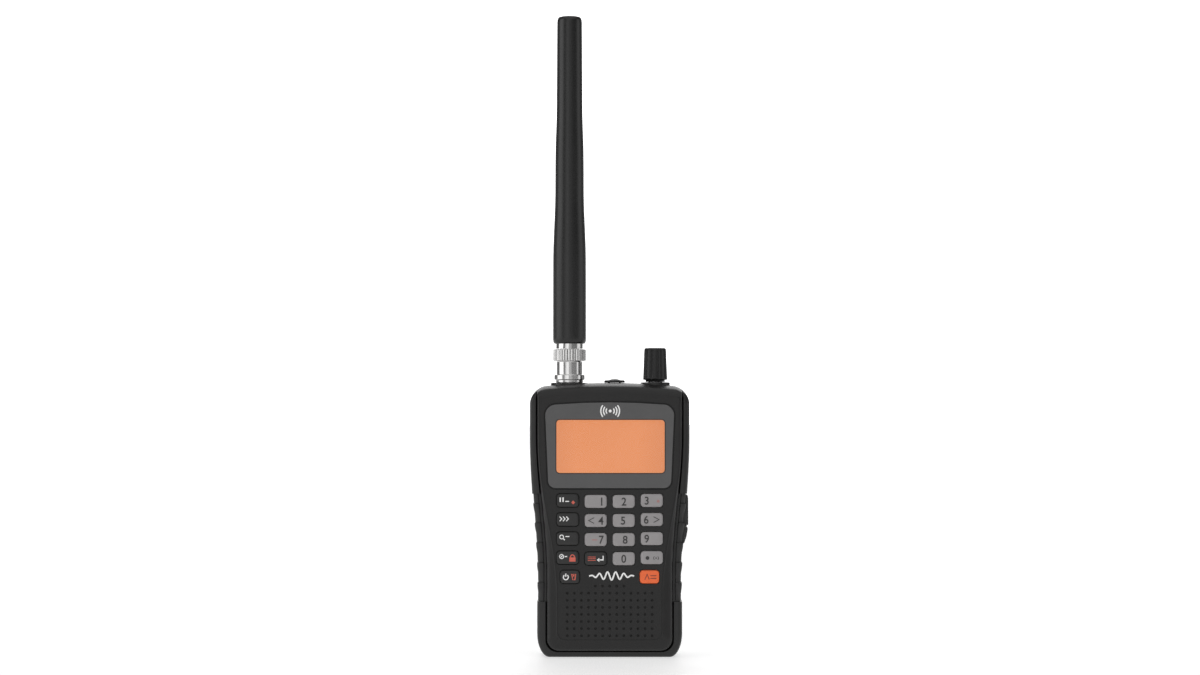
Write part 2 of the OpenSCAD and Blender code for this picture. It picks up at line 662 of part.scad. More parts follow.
// Bayonet nut: a groove lets the jack's two lugs travel a quarter turn to the entry slots
module coupling_nut() color([0.85, 0.85, 0.87]) translate([jack_x, y_top_parts, 0]) difference() {
    rotate_extrude() polygon([
        [4.5, nut_foot_z], [5.6, nut_foot_z], [5.9, nut_foot_z + 0.5], [6.5, nut_foot_z + 0.7],
        [6.5, nut_foot_z + 3.3], [6.2, nut_foot_z + 3.5], [5.25, nut_foot_z + 3.5], [5.25, knurl_z],
        [nut_d / 2 - 0.3, knurl_z], [nut_d / 2, knurl_z + 0.3], [nut_d / 2, nut_top_z - 0.3],
        [nut_d / 2 - 0.3, nut_top_z], [4.15, nut_top_z], [4.15, knurl_z + 2.1], [5, knurl_z + 2.1],
        [5, knurl_z + 1.1], [4.15, knurl_z + 1.1], [4.15, knurl_z + 0.4], [4.5, knurl_z + 0.4]]);
    for (i = [0:35]) rotate([0, 0, i * 10]) translate([nut_d / 2 + 0.12, 0, knurl_z - 1])
        rotate([0, 0, 45]) cylinder(r = 0.42, h = 8, $fn = 4);
    groove = lug_r + 0.1;
    for (side = [0, 180]) rotate([0, 0, side]) {
        rotate([0, 0, -100]) rotate_extrude(angle = 110)
            polygon([[4, lug_z - groove], [5.6, lug_z - groove],
                [5.6, lug_z + groove], [4, lug_z + groove]]);
        rotate([0, 0, -90]) translate([4, -lug_r - 0.12, nut_foot_z - 1])
            cube([1.6, 2 * lug_r + 0.24, lug_z - nut_foot_z + 1]);
    }
}

module retaining_ring() color([0.7, 0.7, 0.72])
    translate([jack_x, y_top_parts, knurl_z + 1.2]) difference() {
    cylinder(r = 4.9, h = 0.8);
    translate([0, 0, -1]) cylinder(r = 3.6, h = 3);
    translate([0, -0.8, -1]) cube([6, 1.6, 3]);
}

module plug_body() color([0.82, 0.82, 0.84]) translate([jack_x, y_top_parts, 0])
    rotate_extrude() polygon([[0, nut_top_z], [0, whip_z + 5], [3.2, whip_z + 5],
        [3.2, whip_z], [5.7, whip_z],
        [5.7, nut_top_z + 0.1], [4.05, nut_top_z + 0.1], [4.05, knurl_z + 2.1], [3.5, knurl_z + 2.1],
        [3.5, knurl_z + 1.1], [4.05, knurl_z + 1.1], [4.05, knurl_z - 0.2], [3.4, knurl_z - 0.2],
        [3.4, boss_z + 4], [2.9, boss_z + 4], [2.9, knurl_z + 1], [0.7, knurl_z + 1], [0.7, nut_top_z]]);

module plug_pin() color([0.85, 0.68, 0.3]) {
    rod_z(jack_x, y_top_parts, 0.7, boss_z + 3.4, nut_top_z - 0.05);
}

// Radius of the whip along its length, in shares of that length
whip_profile = [[0, whip_d / 2 - 0.7], [0.006, whip_d / 2], [0.26, whip_d / 2], [0.33, 6.55], [0.43, 5.9],
    [0.59, 5.8], [0.66, 5.45], [0.7, 5.3], [0.985, 5.1], [0.995, 4.75], [1, 4]];

module whip_sheath() color([0.12, 0.12, 0.12]) translate([jack_x, y_top_parts, whip_z]) difference() {
    rotate_extrude() polygon(concat([[0, 0]],
        [for (p = whip_profile) [p[1], p[0] * whip_l]], [[0, whip_l]]));
    translate([0, 0, -1]) cylinder(r = 3.25, h = 6);
    translate([0, 0, 4.9]) cylinder(r = 3.6, h = whip_l - 14);
}

module whip_coil() color([0.75, 0.45, 0.25]) wire(
    [for (i = [0:coil_turns * 10]) [jack_x + 2.6 * cos(36 * i), y_top_parts + 2.6 * sin(36 * i),
        whip_z + 6 + (whip_l - 20) * i / (coil_turns * 10)]], 0.45, 5);

// ---- belt clip ----

module clip_bracket() color([0.14, 0.14, 0.14]) difference() {
    union() {
        plate(round_rect(0, 93.5, 18, 19, 2), y_back + 0.02, y_back + 1.6);
        for (side = [-1, 1]) {
            x0 = side < 0 ? -9 : 6.8;
            rod_x(pin_y, pin_z, knuckle_r, x0, x0 + 2.2);
            box(x0, x0 + 2.2, y_back + 0.5, pin_y, pin_z - knuckle_r, pin_z + knuckle_r);
        }
    }
    rod_x(pin_y, pin_z, 1.02, -12, 12);
    for (x = [-5, 5]) {
        rod_y(x, 88, 1.1, y_back - 1, y_back + 3);
        rod_y(x, 88, 2.05, y_back + 0.25, y_back + 3);
    }
}

module clip_pin() color([0.7, 0.7, 0.72]) rod_x(pin_y, pin_z, 1, -9, 9);

// Side profile of the clip's paddle as [y, z] behind the back wall
paddle = [[1, 44.5], [1.5, 42.6], [3.2, 42.4], [6.1, 47.5], [7.2, 54], [7.5, 62], [7.7, 84],
    [9.1, 89], [9.2, 102], [8.9, 106.3], [7.6, 106.3], [7.1, 102], [7.1, 90], [5.5, 84.5],
    [5.3, 62], [4.9, 55], [3.6, 49.5], [1.6, 46]];

module belt_clip() color([0.14, 0.14, 0.14]) difference() {
    union() {
        plate_x([for (p = paddle) [y_back + p.x, p.y]], -8.2, 8.2);
        for (side = [-1, 1]) {
            x0 = side < 0 ? -6.6 : 4.4;
            rod_x(pin_y, pin_z, knuckle_r - 0.1, x0, x0 + 2.2);
            box(x0, x0 + 2.2, pin_y, y_back + 7.5, pin_z - knuckle_r, pin_z + knuckle_r);
        }
    }
    rod_x(pin_y, pin_z, 1.05, -12, 12);
}

module clip_spring() color([0.75, 0.75, 0.77]) {
    turns = 7;
    r = 1.85;
    half = 3.1;
    wire(concat(
        [[-half, pin_y + r, pin_z + 6], [-half, pin_y + r, pin_z + 2]],
        [for (i = [0:turns * 10])
            [-half + 2 * half * i / (turns * 10), pin_y + r * cos(36 * i), pin_z - r * sin(36 * i)]],
        [[half, pin_y + r, pin_z + 2], [half, pin_y + r, pin_z + 6]]), 0.35, 5);
}

// ---- keys ----

function key_row(r, names) = [for (c = [0:3]) let (inner = (c == 1 || c == 2))
    [names[c], (c - 1.5) * key_pitch_x, row_4_z + (3 - r) * key_pitch_z - (inner ? inner_drop : 0), key_w]];
KEYS = concat(
    key_row(0, ["key_hold", "key_1", "key_2", "key_3"]),
    key_row(1, ["key_scan", "key_4", "key_5", "key_6"]),
    key_row(2, ["key_search", "key_7", "key_8", "key_9"]),
    key_row(3, ["key_lockout", "key_enter", "key_0", "key_dot"]),
    [["key_power", -16.6, row_4_z - 8, short_key_w], ["key_function", 16.6, row_4_z - 8, short_key_w]]);

dark_keys = ["key_hold", "key_scan", "key_search", "key_lockout", "key_enter", "key_power"];
function is_dark(name) = len([for (n = dark_keys) if (n == name) n]) > 0;
function key_colour(name) = name == "key_function" ? [0.88, 0.36, 0.18]
    : is_dark(name) ? [0.17, 0.165, 0.165] : [0.52, 0.5, 0.49];

// A key: cap, retaining flange and the stem that carries its contact pill
module key(k) color(key_colour(k[0])) {
    plate(round_rect(k[1], k[2], k[3], key_h, key_corner_r), y_front - key_proud, flange_y + eps);
    plate(round_rect(k[1], k[2], k[3] + 2 * key_flange, key_h + 2 * key_flange, key_corner_r),
        flange_y, flange_y + flange_t);
    plate(round_rect(k[1], k[2], k[3] - 3.6, key_h - 2, 0.5), flange_y + flange_t - eps, pill_end_y);
}

front_case();
rear_case();
left_grip();
right_grip();
display_window();
lcd_glass();
lcd_holder();
keypad_mat();
key_board();
main_board();
rf_shield();
board_chips();
speaker_frame();
speaker_cone();
speaker_magnet();
speaker_cloth();
antenna_jack();
jack_insulator();
jack_contact();
jack_nut();
volume_pot();
earphone_jack();
usb_port();
battery_cells();
battery_contacts();
case_screws();
board_screws();
clip_bracket();
clip_pin();
jack_cover();
port_cover();
battery_door();
belt_clip();
clip_spring();
volume_knob();
volume_shaft();
coupling_nut();
retaining_ring();
plug_body();
plug_pin();
whip_sheath();
whip_coil();
for (k = KEYS) key(k);
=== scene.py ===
"""Looks of a handheld radio scanner.

Lengths in the mesh code are millimetres, in the frame of the CAD model: the origin is the centre of the
flat base, +Z is up along the antenna, -Y is out of the front panel and +X is to the right.
"""
import json
import math

import bmesh
import bpy
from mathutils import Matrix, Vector


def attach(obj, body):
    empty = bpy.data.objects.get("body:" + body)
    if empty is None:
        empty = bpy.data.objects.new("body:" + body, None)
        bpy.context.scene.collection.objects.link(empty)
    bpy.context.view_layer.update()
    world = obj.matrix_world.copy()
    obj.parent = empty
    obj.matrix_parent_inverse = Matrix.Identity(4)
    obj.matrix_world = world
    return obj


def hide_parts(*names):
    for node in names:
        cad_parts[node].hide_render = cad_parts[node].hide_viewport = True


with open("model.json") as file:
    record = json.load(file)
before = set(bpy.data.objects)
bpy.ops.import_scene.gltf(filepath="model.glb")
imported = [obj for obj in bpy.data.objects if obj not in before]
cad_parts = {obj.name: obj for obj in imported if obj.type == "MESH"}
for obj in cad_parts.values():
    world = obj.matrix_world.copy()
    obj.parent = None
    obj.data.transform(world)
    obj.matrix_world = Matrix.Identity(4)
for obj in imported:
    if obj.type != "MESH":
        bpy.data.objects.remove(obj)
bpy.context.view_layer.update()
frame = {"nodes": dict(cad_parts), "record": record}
SCENE = bpy.context.scene
SLOTS = {s["node"]: s["material_slot"] for s in frame["record"]["subparts"]}
MM = 0.001

# ---------------------------------------------------------------- camera, light and floor

SHOT_D = 1300.0        # how far the camera stands in front of the origin
SHOT_X = -4.05         # to the side of it
SHOT_Z = 107.6         # above it
TILT = 1.17            # degrees up

AMBIENT = 0.12
# Patches of light: direction, cosine where the patch starts and where it is full, strength
LIGHTS = (
    ((0, 1, 0), 0.86, 0.93, 0.9),
    ((0, 0.88, 0.47), 0.8, 0.93, 0.95),
    ((0, -0.45, 1), 0.45, 0.9, 0.8),
    ((-1, -0.2, 0.12), 0.88, 0.96, 1.6),
    ((1, -0.05, 0.1), 0.92, 0.975, 0.85),
    ((0, -1, 0.15), 0.9, 0.985, 0.36),
    ((-0.36, -0.93, 0.04), 0.95, 0.985, 0.95),
)
FLOOR_SIZE = 12        # metres from the middle of the floor to its edge


def set_camera():
    cam = bpy.data.cameras.new("camera")
    cam.lens = 92.15
    cam.sensor_width = 36
    cam.clip_start = 0.05
    cam.clip_end = 50
    ob = bpy.data.objects.new("camera", cam)
    ob.location = (SHOT_X * MM, -SHOT_D * MM, SHOT_Z * MM)
    ob.rotation_euler = (math.radians(90 + TILT), 0, 0)
    SCENE.collection.objects.link(ob)
    SCENE.camera = ob


def set_stage():
    """A white room, dimmer in front, with soft patches of light overhead and to both sides."""
    world = bpy.data.worlds.new("studio")
    world.use_nodes = True
    tree = world.node_tree
    direction = tree.nodes.new("ShaderNodeTexCoord").outputs["Generated"]
    total = None
    for towards, near, far, level in LIGHTS:
        dot = tree.nodes.new("ShaderNodeVectorMath")
        dot.operation = "DOT_PRODUCT"
        dot.inputs[1].default_value = Vector(towards).normalized()
        tree.links.new(direction, dot.inputs[0])
        patch = tree.nodes.new("ShaderNodeMapRange")
        patch.interpolation_type = "SMOOTHSTEP"
        for key, number in (("From Min", near), ("From Max", far), ("To Min", 0), ("To Max", level)):
            patch.inputs[key].default_value = number
        tree.links.new(dot.outputs["Value"], patch.inputs["Value"])
        add = tree.nodes.new("ShaderNodeMath")
        add.operation = "ADD"
        tree.links.new(patch.outputs["Result"], add.inputs[0])
        if total:
            tree.links.new(total, add.inputs[1])
        else:
            add.inputs[1].default_value = AMBIENT
        total = add.outputs[0]
    tree.links.new(total, tree.nodes["Background"].inputs["Strength"])
    tree.nodes["Background"].inputs["Color"].default_value = (1, 1, 1, 1)
    SCENE.world = world
    SCENE.view_settings.view_transform = "Standard"
    SCENE.view_settings.look = "None"


# ---------------------------------------------------------------- materials

class Nodes:
    """A material under construction, with short ways to add and join its nodes."""

    def __init__(self, name):
        self.mat = bpy.data.materials.new(name)
        self.mat.use_nodes = True
        self.tree = self.mat.node_tree
        self.shader = self.tree.nodes["Principled BSDF"]
        self.coords = self.add("ShaderNodeTexCoord").outputs["Object"]

    def add(self, kind, **values):
        node = self.tree.nodes.new(kind)
        for key, value in values.items():
            if key in node.inputs:
                node.inputs[key].default_value = value
            else:
                setattr(node, key, value)
        return node

    def link(self, a, b):
        self.tree.links.new(a, b)

    def set(self, **values):
        for key, value in values.items():
            self.shader.inputs[key.replace("_", " ")].default_value = value

    def scaled(self, scale):
        node = self.add("ShaderNodeMapping")
        node.inputs["Scale"].default_value = scale
        self.link(self.coords, node.inputs["Vector"])
        return node.outputs["Vector"]

    def noise(self, scale, detail=2.0, vector=None):
        node = self.add("ShaderNodeTexNoise", Scale=scale, Detail=detail)
        self.link(vector or self.coords, node.inputs["Vector"])
        return node.outputs["Fac"]

    def ramp(self, value, low, high, a, b):
        node = self.add("ShaderNodeMapRange")
        for key, number in (("From Min", low), ("From Max", high), ("To Min", a), ("To Max", b)):
            node.inputs[key].default_value = number
        self.link(value, node.inputs["Value"])
        return node.outputs["Result"]

    def mix(self, factor, a, b):
        node = self.add("ShaderNodeMix", data_type="RGBA")
        node.inputs[6].default_value = (*a, 1)
        node.inputs[7].default_value = (*b, 1)
        self.link(factor, node.inputs[0])
        return node.outputs[2]

    def bump(self, height, strength, distance, below=None):
        node = self.add("ShaderNodeBump", Strength=strength, Distance=distance)
        self.link(height, node.inputs["Height"])
        if below:
            self.link(below, node.inputs["Normal"])
        return node.outputs["Normal"]


def shade(colour, share):
    return tuple(c * share for c in colour)


def moulded(name, colour, rough, spread=0.12, grain=4200, depth=0.012, patch=160, **extra):
    """Moulded plastic or rubber: faint mottling, an eroded grain and uneven gloss."""
    n = Nodes(name)
    mottled = n.noise(patch, 4)
    n.link(n.mix(n.ramp(mottled, 0.3, 0.7, 0, 1), shade(colour, 1 - spread), shade(colour, 1 + spread)),
        n.shader.inputs["Base Color"])
    fine = n.noise(grain, 3)
    n.link(n.ramp(fine, 0.3, 0.7, rough - 0.05, rough + 0.07), n.shader.inputs["Roughness"])
    n.link(n.bump(fine, 0.6, depth * MM), n.shader.inputs["Normal"])
    n.set(**extra)
    return n.mat


def metal(name, colour, rough, stretch=(300, 300, 9000), depth=0.004, spread=0.03):
    """Turned or plated metal: fine tool marks that run round the axis."""
    n = Nodes(name)
    marks = n.noise(1.0, 3, n.scaled(stretch))
    n.link(n.mix(n.ramp(n.noise(220, 3), 0.3, 0.7, 0, 1), shade(colour, 0.93), shade(colour, 1.04)),
        n.shader.inputs["Base Color"])
    n.link(n.ramp(marks, 0.25, 0.75, rough - spread, rough + spread), n.shader.inputs["Roughness"])
    if depth:
        n.link(n.bump(marks, 0.5, depth * MM), n.shader.inputs["Normal"])
    n.set(Metallic=1.0)
    return n.mat


def lit_display(name):
    """Backlit liquid crystal: an orange glow, a little brighter in the middle, over fine cell lines."""
    n = Nodes(name)
    glow = n.noise(28, 1)
    lines = n.add("ShaderNodeTexWave", Scale=520, wave_type="BANDS", bands_direction="Z")
    n.link(n.coords, lines.inputs["Vector"])
    tint = n.add("ShaderNodeMath", operation="MULTIPLY_ADD")
    n.link(n.ramp(glow, 0.3, 0.7, 0.0, 0.85), tint.inputs[0])
    tint.inputs[1].default_value = 1.0
    n.link(n.ramp(lines.outputs["Fac"], 0, 1, 0, 0.1), tint.inputs[2])
    colour = n.mix(tint.outputs[0], (0.78, 0.275, 0.105), (0.83, 0.30, 0.125))
    place = n.add("ShaderNodeSeparateXYZ")
    n.link(n.coords, place.inputs[0])
    across = n.add("ShaderNodeMath", operation="ABSOLUTE")
    shift = n.add("ShaderNodeMath", operation="SUBTRACT")
    shift.inputs[1].default_value = -0.001
    n.link(place.outputs["X"], shift.inputs[0])
    n.link(shift.outputs[0], across.inputs[0])
    dim = n.add("ShaderNodeMix", data_type="RGBA")
    dim.inputs[7].default_value = (0.74, 0.26, 0.105, 1)
    n.link(colour, dim.inputs[6])
    n.link(n.ramp(across.outputs[0], 0.013, 0.024, 0, 1), dim.inputs[0])
    n.link(dim.outputs[2], n.shader.inputs["Emission Color"])
    n.set(Base_Color=(0.02, 0.008, 0.004, 1), Emission_Strength=0.95, Roughness=0.5)
    return n.mat


def clear_pane(name):
    """Clear plastic with a low index, so that the display behind it stays bright."""
    n = Nodes(name)
    n.link(n.ramp(n.noise(90, 2), 0.3, 0.7, 0.01, 0.035), n.shader.inputs["Roughness"])
    n.set(Base_Color=(1, 1, 1, 1), Transmission_Weight=1.0, IOR=1.2)
    return n.mat


def board_finish(name):
    """Solder mask with copper tracks showing through."""
    n = Nodes(name)
    tracks = n.noise(700, 0)
    n.link(n.mix(n.ramp(tracks, 0.45, 0.55, 0, 1), (0.008, 0.07, 0.03), (0.012, 0.12, 0.05)),
        n.shader.inputs["Base Color"])
    n.link(n.bump(tracks, 0.4, 0.02 * MM), n.shader.inputs["Normal"])
    n.set(Roughness=0.3, Coat_Weight=0.4)
    return n.mat


FINISH = {
    "front_plastic": moulded("front_plastic", (0.008, 0.0076, 0.0076), 0.4, Specular_IOR_Level=0.4),
    "rear_plastic": moulded("rear_plastic", (0.007, 0.0068, 0.0068), 0.36),
    "clip_plastic": moulded("clip_plastic", (0.011, 0.0108, 0.0108), 0.42, grain=2600, depth=0.02),
    "grip_rubber": moulded("grip_rubber", (0.013, 0.0128, 0.013), 0.5, grain=3000, depth=0.02),
    "window_lens": moulded("window_lens", (0.086, 0.085, 0.086), 0.2, spread=0.03, grain=900, depth=0.0006),
    "lcd_panel": lit_display("lcd_panel"),
    "clear_pane": clear_pane("clear_pane"),
    "white_plastic": moulded("white_plastic", (0.7, 0.7, 0.67), 0.4, spread=0.03),
    "mat_rubber": moulded("mat_rubber", (0.05, 0.05, 0.052), 0.6),
    "circuit_board": board_finish("circuit_board"),
    "tinned_steel": metal("tinned_steel", (0.6, 0.6, 0.6), 0.32, (900, 900, 900)),
    "black_resin": moulded("black_resin", (0.014, 0.014, 0.014), 0.45),
    "speaker_paper": moulded("speaker_paper", (0.02, 0.018, 0.016), 0.8, grain=2500, depth=0.05),
    "magnet_steel": metal("magnet_steel", (0.2, 0.2, 0.21), 0.45, (900, 900, 900)),
    "grille_cloth": moulded("grille_cloth", (0.022, 0.021, 0.021), 0.9, grain=2500, depth=0.05),
    "nickel": metal("nickel", (0.7, 0.695, 0.69), 0.12, (60, 60, 400), 0, 0.01),
    "gold_contact": metal("gold_contact", (0.85, 0.6, 0.22), 0.2),
    "battery_sleeve": moulded("battery_sleeve", (0.35, 0.2, 0.05), 0.25, spread=0.08),
    "black_screw": metal("black_screw", (0.09, 0.09, 0.09), 0.38, (900, 900, 900)),
    "spring_steel": metal("spring_steel", (0.55, 0.55, 0.56), 0.25, (900, 900, 900)),
    "cover_rubber": moulded("cover_rubber", (0.014, 0.014, 0.014), 0.4, grain=3000),
    "knob_plastic": moulded("knob_plastic", (0.005, 0.005, 0.005), 0.34, Specular_IOR_Level=0.42),
    "whip_rubber": moulded("whip_rubber", (0.0065, 0.0065, 0.0065), 0.31, grain=2600, depth=0.015),
    "copper_wire": metal("copper_wire", (0.8, 0.38, 0.2), 0.25, (900, 900, 900)),
    "orange_key": moulded("orange_key", (0.885, 0.149, 0.037), 0.45, spread=0.05),
    "dark_key": moulded("dark_key", (0.0135, 0.013, 0.013), 0.42),
    "grey_key": moulded("grey_key", (0.315, 0.301, 0.303), 0.46, spread=0.04),
    "white_print": moulded("white_print", (0.96, 0.96, 0.95), 0.5, spread=0.02),
    "dark_print": moulded("dark_print", (0.03, 0.028, 0.028), 0.5, spread=0.05),
    "orange_print": moulded("orange_print", (0.68, 0.13, 0.09), 0.5, spread=0.05),
    "faint_print": moulded("faint_print", (0.38, 0.2, 0.19), 0.5, spread=0.05),
    "brown_print": moulded("brown_print", (0.2, 0.045, 0.025), 0.5, spread=0.05),
}


# ---------------------------------------------------------------- mesh helpers

def link_mesh(name, mesh):
    ob = bpy.data.objects.new(name, mesh)
    SCENE.collection.objects.link(ob)
    return ob


def solid(name, verts, faces):
    mesh = bpy.data.meshes.new(name)
    mesh.from_pydata([(x * MM, y * MM, z * MM) for x, y, z in verts], [], faces)
    bm = bmesh.new()
    bm.from_mesh(mesh)
    bmesh.ops.remove_doubles(bm, verts=bm.verts, dist=1e-7)
    bmesh.ops.recalc_face_normals(bm, faces=bm.faces)
    bm.to_mesh(mesh)
    bm.free()
    return link_mesh(name, mesh)


def skin(name, rings, closed=False, caps=True):
    """A skin through rings of [x, y, z] points, capped at both ends or closed into a ring."""
    n = len(rings[0])
    verts = [p for ring in rings for p in ring]
    count = len(rings)
    faces = []
    for k in range(count if closed else count - 1):
        a, b = k * n, ((k + 1) % count) * n
        faces += [(a + i, a + (i + 1) % n, b + (i + 1) % n, b + i) for i in range(n)]
    if caps and not closed:
        faces += [tuple(range(n))[::-1], tuple((count - 1) * n + i for i in range(n))]
    return solid(name, verts, faces)


def plate(name, outline, y0, y1):
    return skin(name, [[(x, y, z) for x, z in outline] for y in (y0, y1)])


def box(name, x0, x1, y0, y1, z0, z1):
    return plate(name, [(x0, z0), (x1, z0), (x1, z1), (x0, z1)], y0, y1)


def turned(name, profile, cx, cy, segments=96, wobble=None, closed=False):
    """Turns a profile of (radius, z) about a vertical axis. wobble(angle, radius, z) may change a radius."""
    rings = []
    for r, z in profile:
        ring = []
        for i in range(segments):
            a = 2 * math.pi * i / segments
            q = wobble(a, r, z) if wobble else r
            ring.append((cx + q * math.cos(a), cy + q * math.sin(a), z))
        rings.append(ring)
    return skin(name, rings, closed=closed)


def evaluated(ob):
    """Replaces an object's mesh with the result of its modifiers."""
    mesh = bpy.data.meshes.new_from_object(ob.evaluated_get(bpy.context.evaluated_depsgraph_get()))
    old = ob.data
    ob.modifiers.clear()
    ob.data = mesh
    bpy.data.meshes.remove(old)
    return ob


def combine(ob, other, operation="DIFFERENCE"):
    m = ob.modifiers.new("combine", "BOOLEAN")
    m.operation = operation
    m.solver = "EXACT"
    m.object = other
    evaluated(ob)
    bpy.data.objects.remove(other)
    return ob


def joined(name, obs):
    """One object from several, with no change to their shapes."""
    bm = bmesh.new()
    for ob in obs:
        bm.from_mesh(ob.data)
        bpy.data.objects.remove(ob)
    mesh = bpy.data.meshes.new(name)
    bm.to_mesh(mesh)
    bm.free()
    return link_mesh(name, mesh)


def soften(ob, width, segments=2, angle=32, apply=True):
    """Rounds the edges sharper than angle, and shades the rest smooth."""
    if apply:
        bm = bmesh.new()
        bm.from_mesh(ob.data)
        bmesh.ops.dissolve_degenerate(bm, dist=1e-6, edges=bm.edges)
        bm.to_mesh(ob.data)
        bm.free()
        ob.data.shade_smooth()
    m = ob.modifiers.new("edges", "BEVEL")
    m.width = width * MM
    m.segments = segments
    m.limit_method = "ANGLE"
    m.angle_limit = math.radians(angle)
    m.use_clamp_overlap = True
    m.harden_normals = False
    w = ob.modifiers.new("normals", "WEIGHTED_NORMAL")
    w.keep_sharp = True
    w.weight = 60
    if apply:
        evaluated(ob)
    return ob


def piece(ob, body, slot, *nodes, finish=None):
    ob.data.materials.clear()
    ob.data.materials.append(FINISH[finish or slot])
    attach(ob, body)
    if nodes:
        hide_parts(*nodes)
    return ob


# ---------------------------------------------------------------- outlines, as in the design

def smooth(t):
    t = min(max(t, 0), 1)
    return t * t * (3 - 2 * t)


def lerp(a, b, t):
    return a + (b - a) * t


def arc(cx, cz, rx, rz, a0, a1, n):
    return [(cx + rx * math.cos(math.radians(lerp(a0, a1, i / n))),
        cz + rz * math.sin(math.radians(lerp(a0, a1, i / n)))) for i in range(n + 1)]


def mirrored(right):
    return right + [(-x, z) for x, z in reversed(right) if x > 1e-6]


def inset(points, d):
    out = []
    n = len(points)
    for i, (x, z) in enumerate(points):
        tx = points[(i + 1) % n][0] - points[i - 1][0]
        tz = points[(i + 1) % n][1] - points[i - 1][1]
        length = math.hypot(tx, tz)
        out.append((x - d * tz / length, z + d * tx / length))
    return out


def round_rect(x, z, w, h, r, n=6):
    return (arc(x + w / 2 - r, z - h / 2 + r, r, r, -90, 0, n)
        + arc(x + w / 2 - r, z + h / 2 - r, r, r, 0, 90, n)
        + arc(x - w / 2 + r, z + h / 2 - r, r, r, 90, 180, n)
        + arc(x - w / 2 + r, z - h / 2 + r, r, r, 180, 270, n))


HEIGHT = 115.0
FRONT = -16.25
BACK = 16.25
INSIDE = FRONT + 1.8   # back of the front wall
RIM = FRONT + 4.4      # front of the rear half's rim
SEAM = FRONT + 8.4     # where the halves meet on the top
WALL = 2.0
TOP_Y = 0.5            # depth of the fittings on the top
JACK_X, SOCKET_X, KNOB_X = -16.95, 2.1, 19.3
DISPLAY_X, DISPLAY_Z = 0.35, 88.3
GRIP_FOOT, GRIP_TOP = 23.2, 68.4
USB_Y, USB_Z = -2.7, 62.0
PIN_Y, PIN_Z = BACK + 4.15, 96.0


def half_width(z):
    return 30.4 + 3.1 * smooth((z - 30) / 62)


def ridge_half(z):
    return 22.3 + 7.5 * smooth((z - 26) / 62)


def seam_half(z):
    return 26.3 + 4.1 * smooth((z - 34) / 60)


def case_outline():
    corner_x, r, crown = 25.9, 7.6, 294.0
    centre = HEIGHT - crown
    corner_z = centre + math.sqrt((crown - r) ** 2 - corner_x ** 2)
    lean = math.degrees(math.atan2(corner_z - centre, corner_x))
    edge = corner_x + r * math.cos(math.radians(lean))
    right = arc(half_width(0) - 5.2, 10, 5.2, 10, -90, 0, 16)
    right += [(half_width(30 + 62 * i / 28), 30 + 62 * i / 28) for i in range(29)]
    right += arc(corner_x, corner_z, r, r, 0, lean, 14)
    right += [(edge * (1 - i / 10), centre + math.sqrt(crown ** 2 - (edge * (1 - i / 10)) ** 2))
        for i in range(1, 11)]
    return mirrored(right)


CASE = case_outline()


def panel_outline(share, foot, d):
    r = 3.4 + 1.6 * share

    def at(z):
        return lerp(ridge_half(z), seam_half(z), share) - d
    right = arc(at(foot) - r, foot + d + r, r, r, -90, 0, 10)
    right += [(at(z), z) for z in [lerp(26, 34, share) + lerp(62, 60, share) * i / 30 for i in range(31)]]
    right.append((at(HEIGHT), HEIGHT + 5))
    return mirrored(right)


def domed(ring):
    """The top of the case falls away a little to the front and back."""
    def drop(y, z):
        return 3.2 * (1 - math.sqrt(max(1 - (y / 16.4) ** 2, 0))) * smooth((z - 104) / 9)
    return [(x, y, z - drop(y, z)) for x, y, z in ring]


def case_block(name, y0, y1, r0, r1, d=0.0, steps=7):
    rings = []
    for i in range(steps + 1):
        a = math.pi / 2 * (1 - i / steps)
        y = y0 + d + (r0 - d) * (1 - math.sin(a))
        rings.append([(x, y, z) for x, z in inset(CASE, d + (r0 - d) * (1 - math.cos(a)))])
    for i in range(1, 16):
        rings.append([(x, lerp(y0 + r0, y1 - r1, i / 16), z) for x, z in inset(CASE, d)])
    for i in range(steps + 1):
        a = math.pi / 2 * i / steps
        y = y1 - d - (r1 - d) * (1 - math.sin(a))
        rings.append([(x, y, z) for x, z in inset(CASE, d + (r1 - d) * (1 - math.cos(a)))])
    return skin(name, [domed(ring) for ring in rings])


def window_outline(grow=0.0):
    right = arc(51.6 / 2 - 3.2, 74, 3.2, 3.2, -90, -4, 8)
    right += arc(27 - 4.6, 70.8 + 30.5, 4.6, 4.6, 0, 86, 10)
    right += [(27 / 2.5, 106.6), (0, 106.8)]
    return inset(mirrored(right), -grow)


# ---------------------------------------------------------------- keys

PITCH_X = 11.7
ROW_Z = (65.75, 57.8, 49.85, 41.9)
KEY_H = 5.45
ROWS = (("key_hold", "key_1", "key_2", "key_3"), ("key_scan", "key_4", "key_5", "key_6"),
    ("key_search", "key_7", "key_8", "key_9"), ("key_lockout", "key_enter", "key_0", "key_dot"))
KEYS = {}
for r, names in enumerate(ROWS):
    for c, key_name in enumerate(names):
        drop = 0.4 if c in (1, 2) else 0.0
        KEYS[key_name] = ((c - 1.5) * PITCH_X, ROW_Z[r] - drop, 9.2)
KEYS["key_power"] = (-16.6, 33.9, 8.0)
KEYS["key_function"] = (16.6, 33.9, 8.0)
KEY_TOP = FRONT - 0.67
CROWN = 0.14
DARK_KEYS = ("key_hold", "key_scan", "key_search", "key_lockout", "key_enter", "key_power")


def key_surface(key_name, x, z):
    """Depth of a key's crowned face at x, z."""
    kx, kz, w = KEYS[key_name]
    edge = min(w / 2 - abs(x - kx), KEY_H / 2 - abs(z - kz))
    return KEY_TOP + CROWN * (1 - smooth(edge / 1.1))


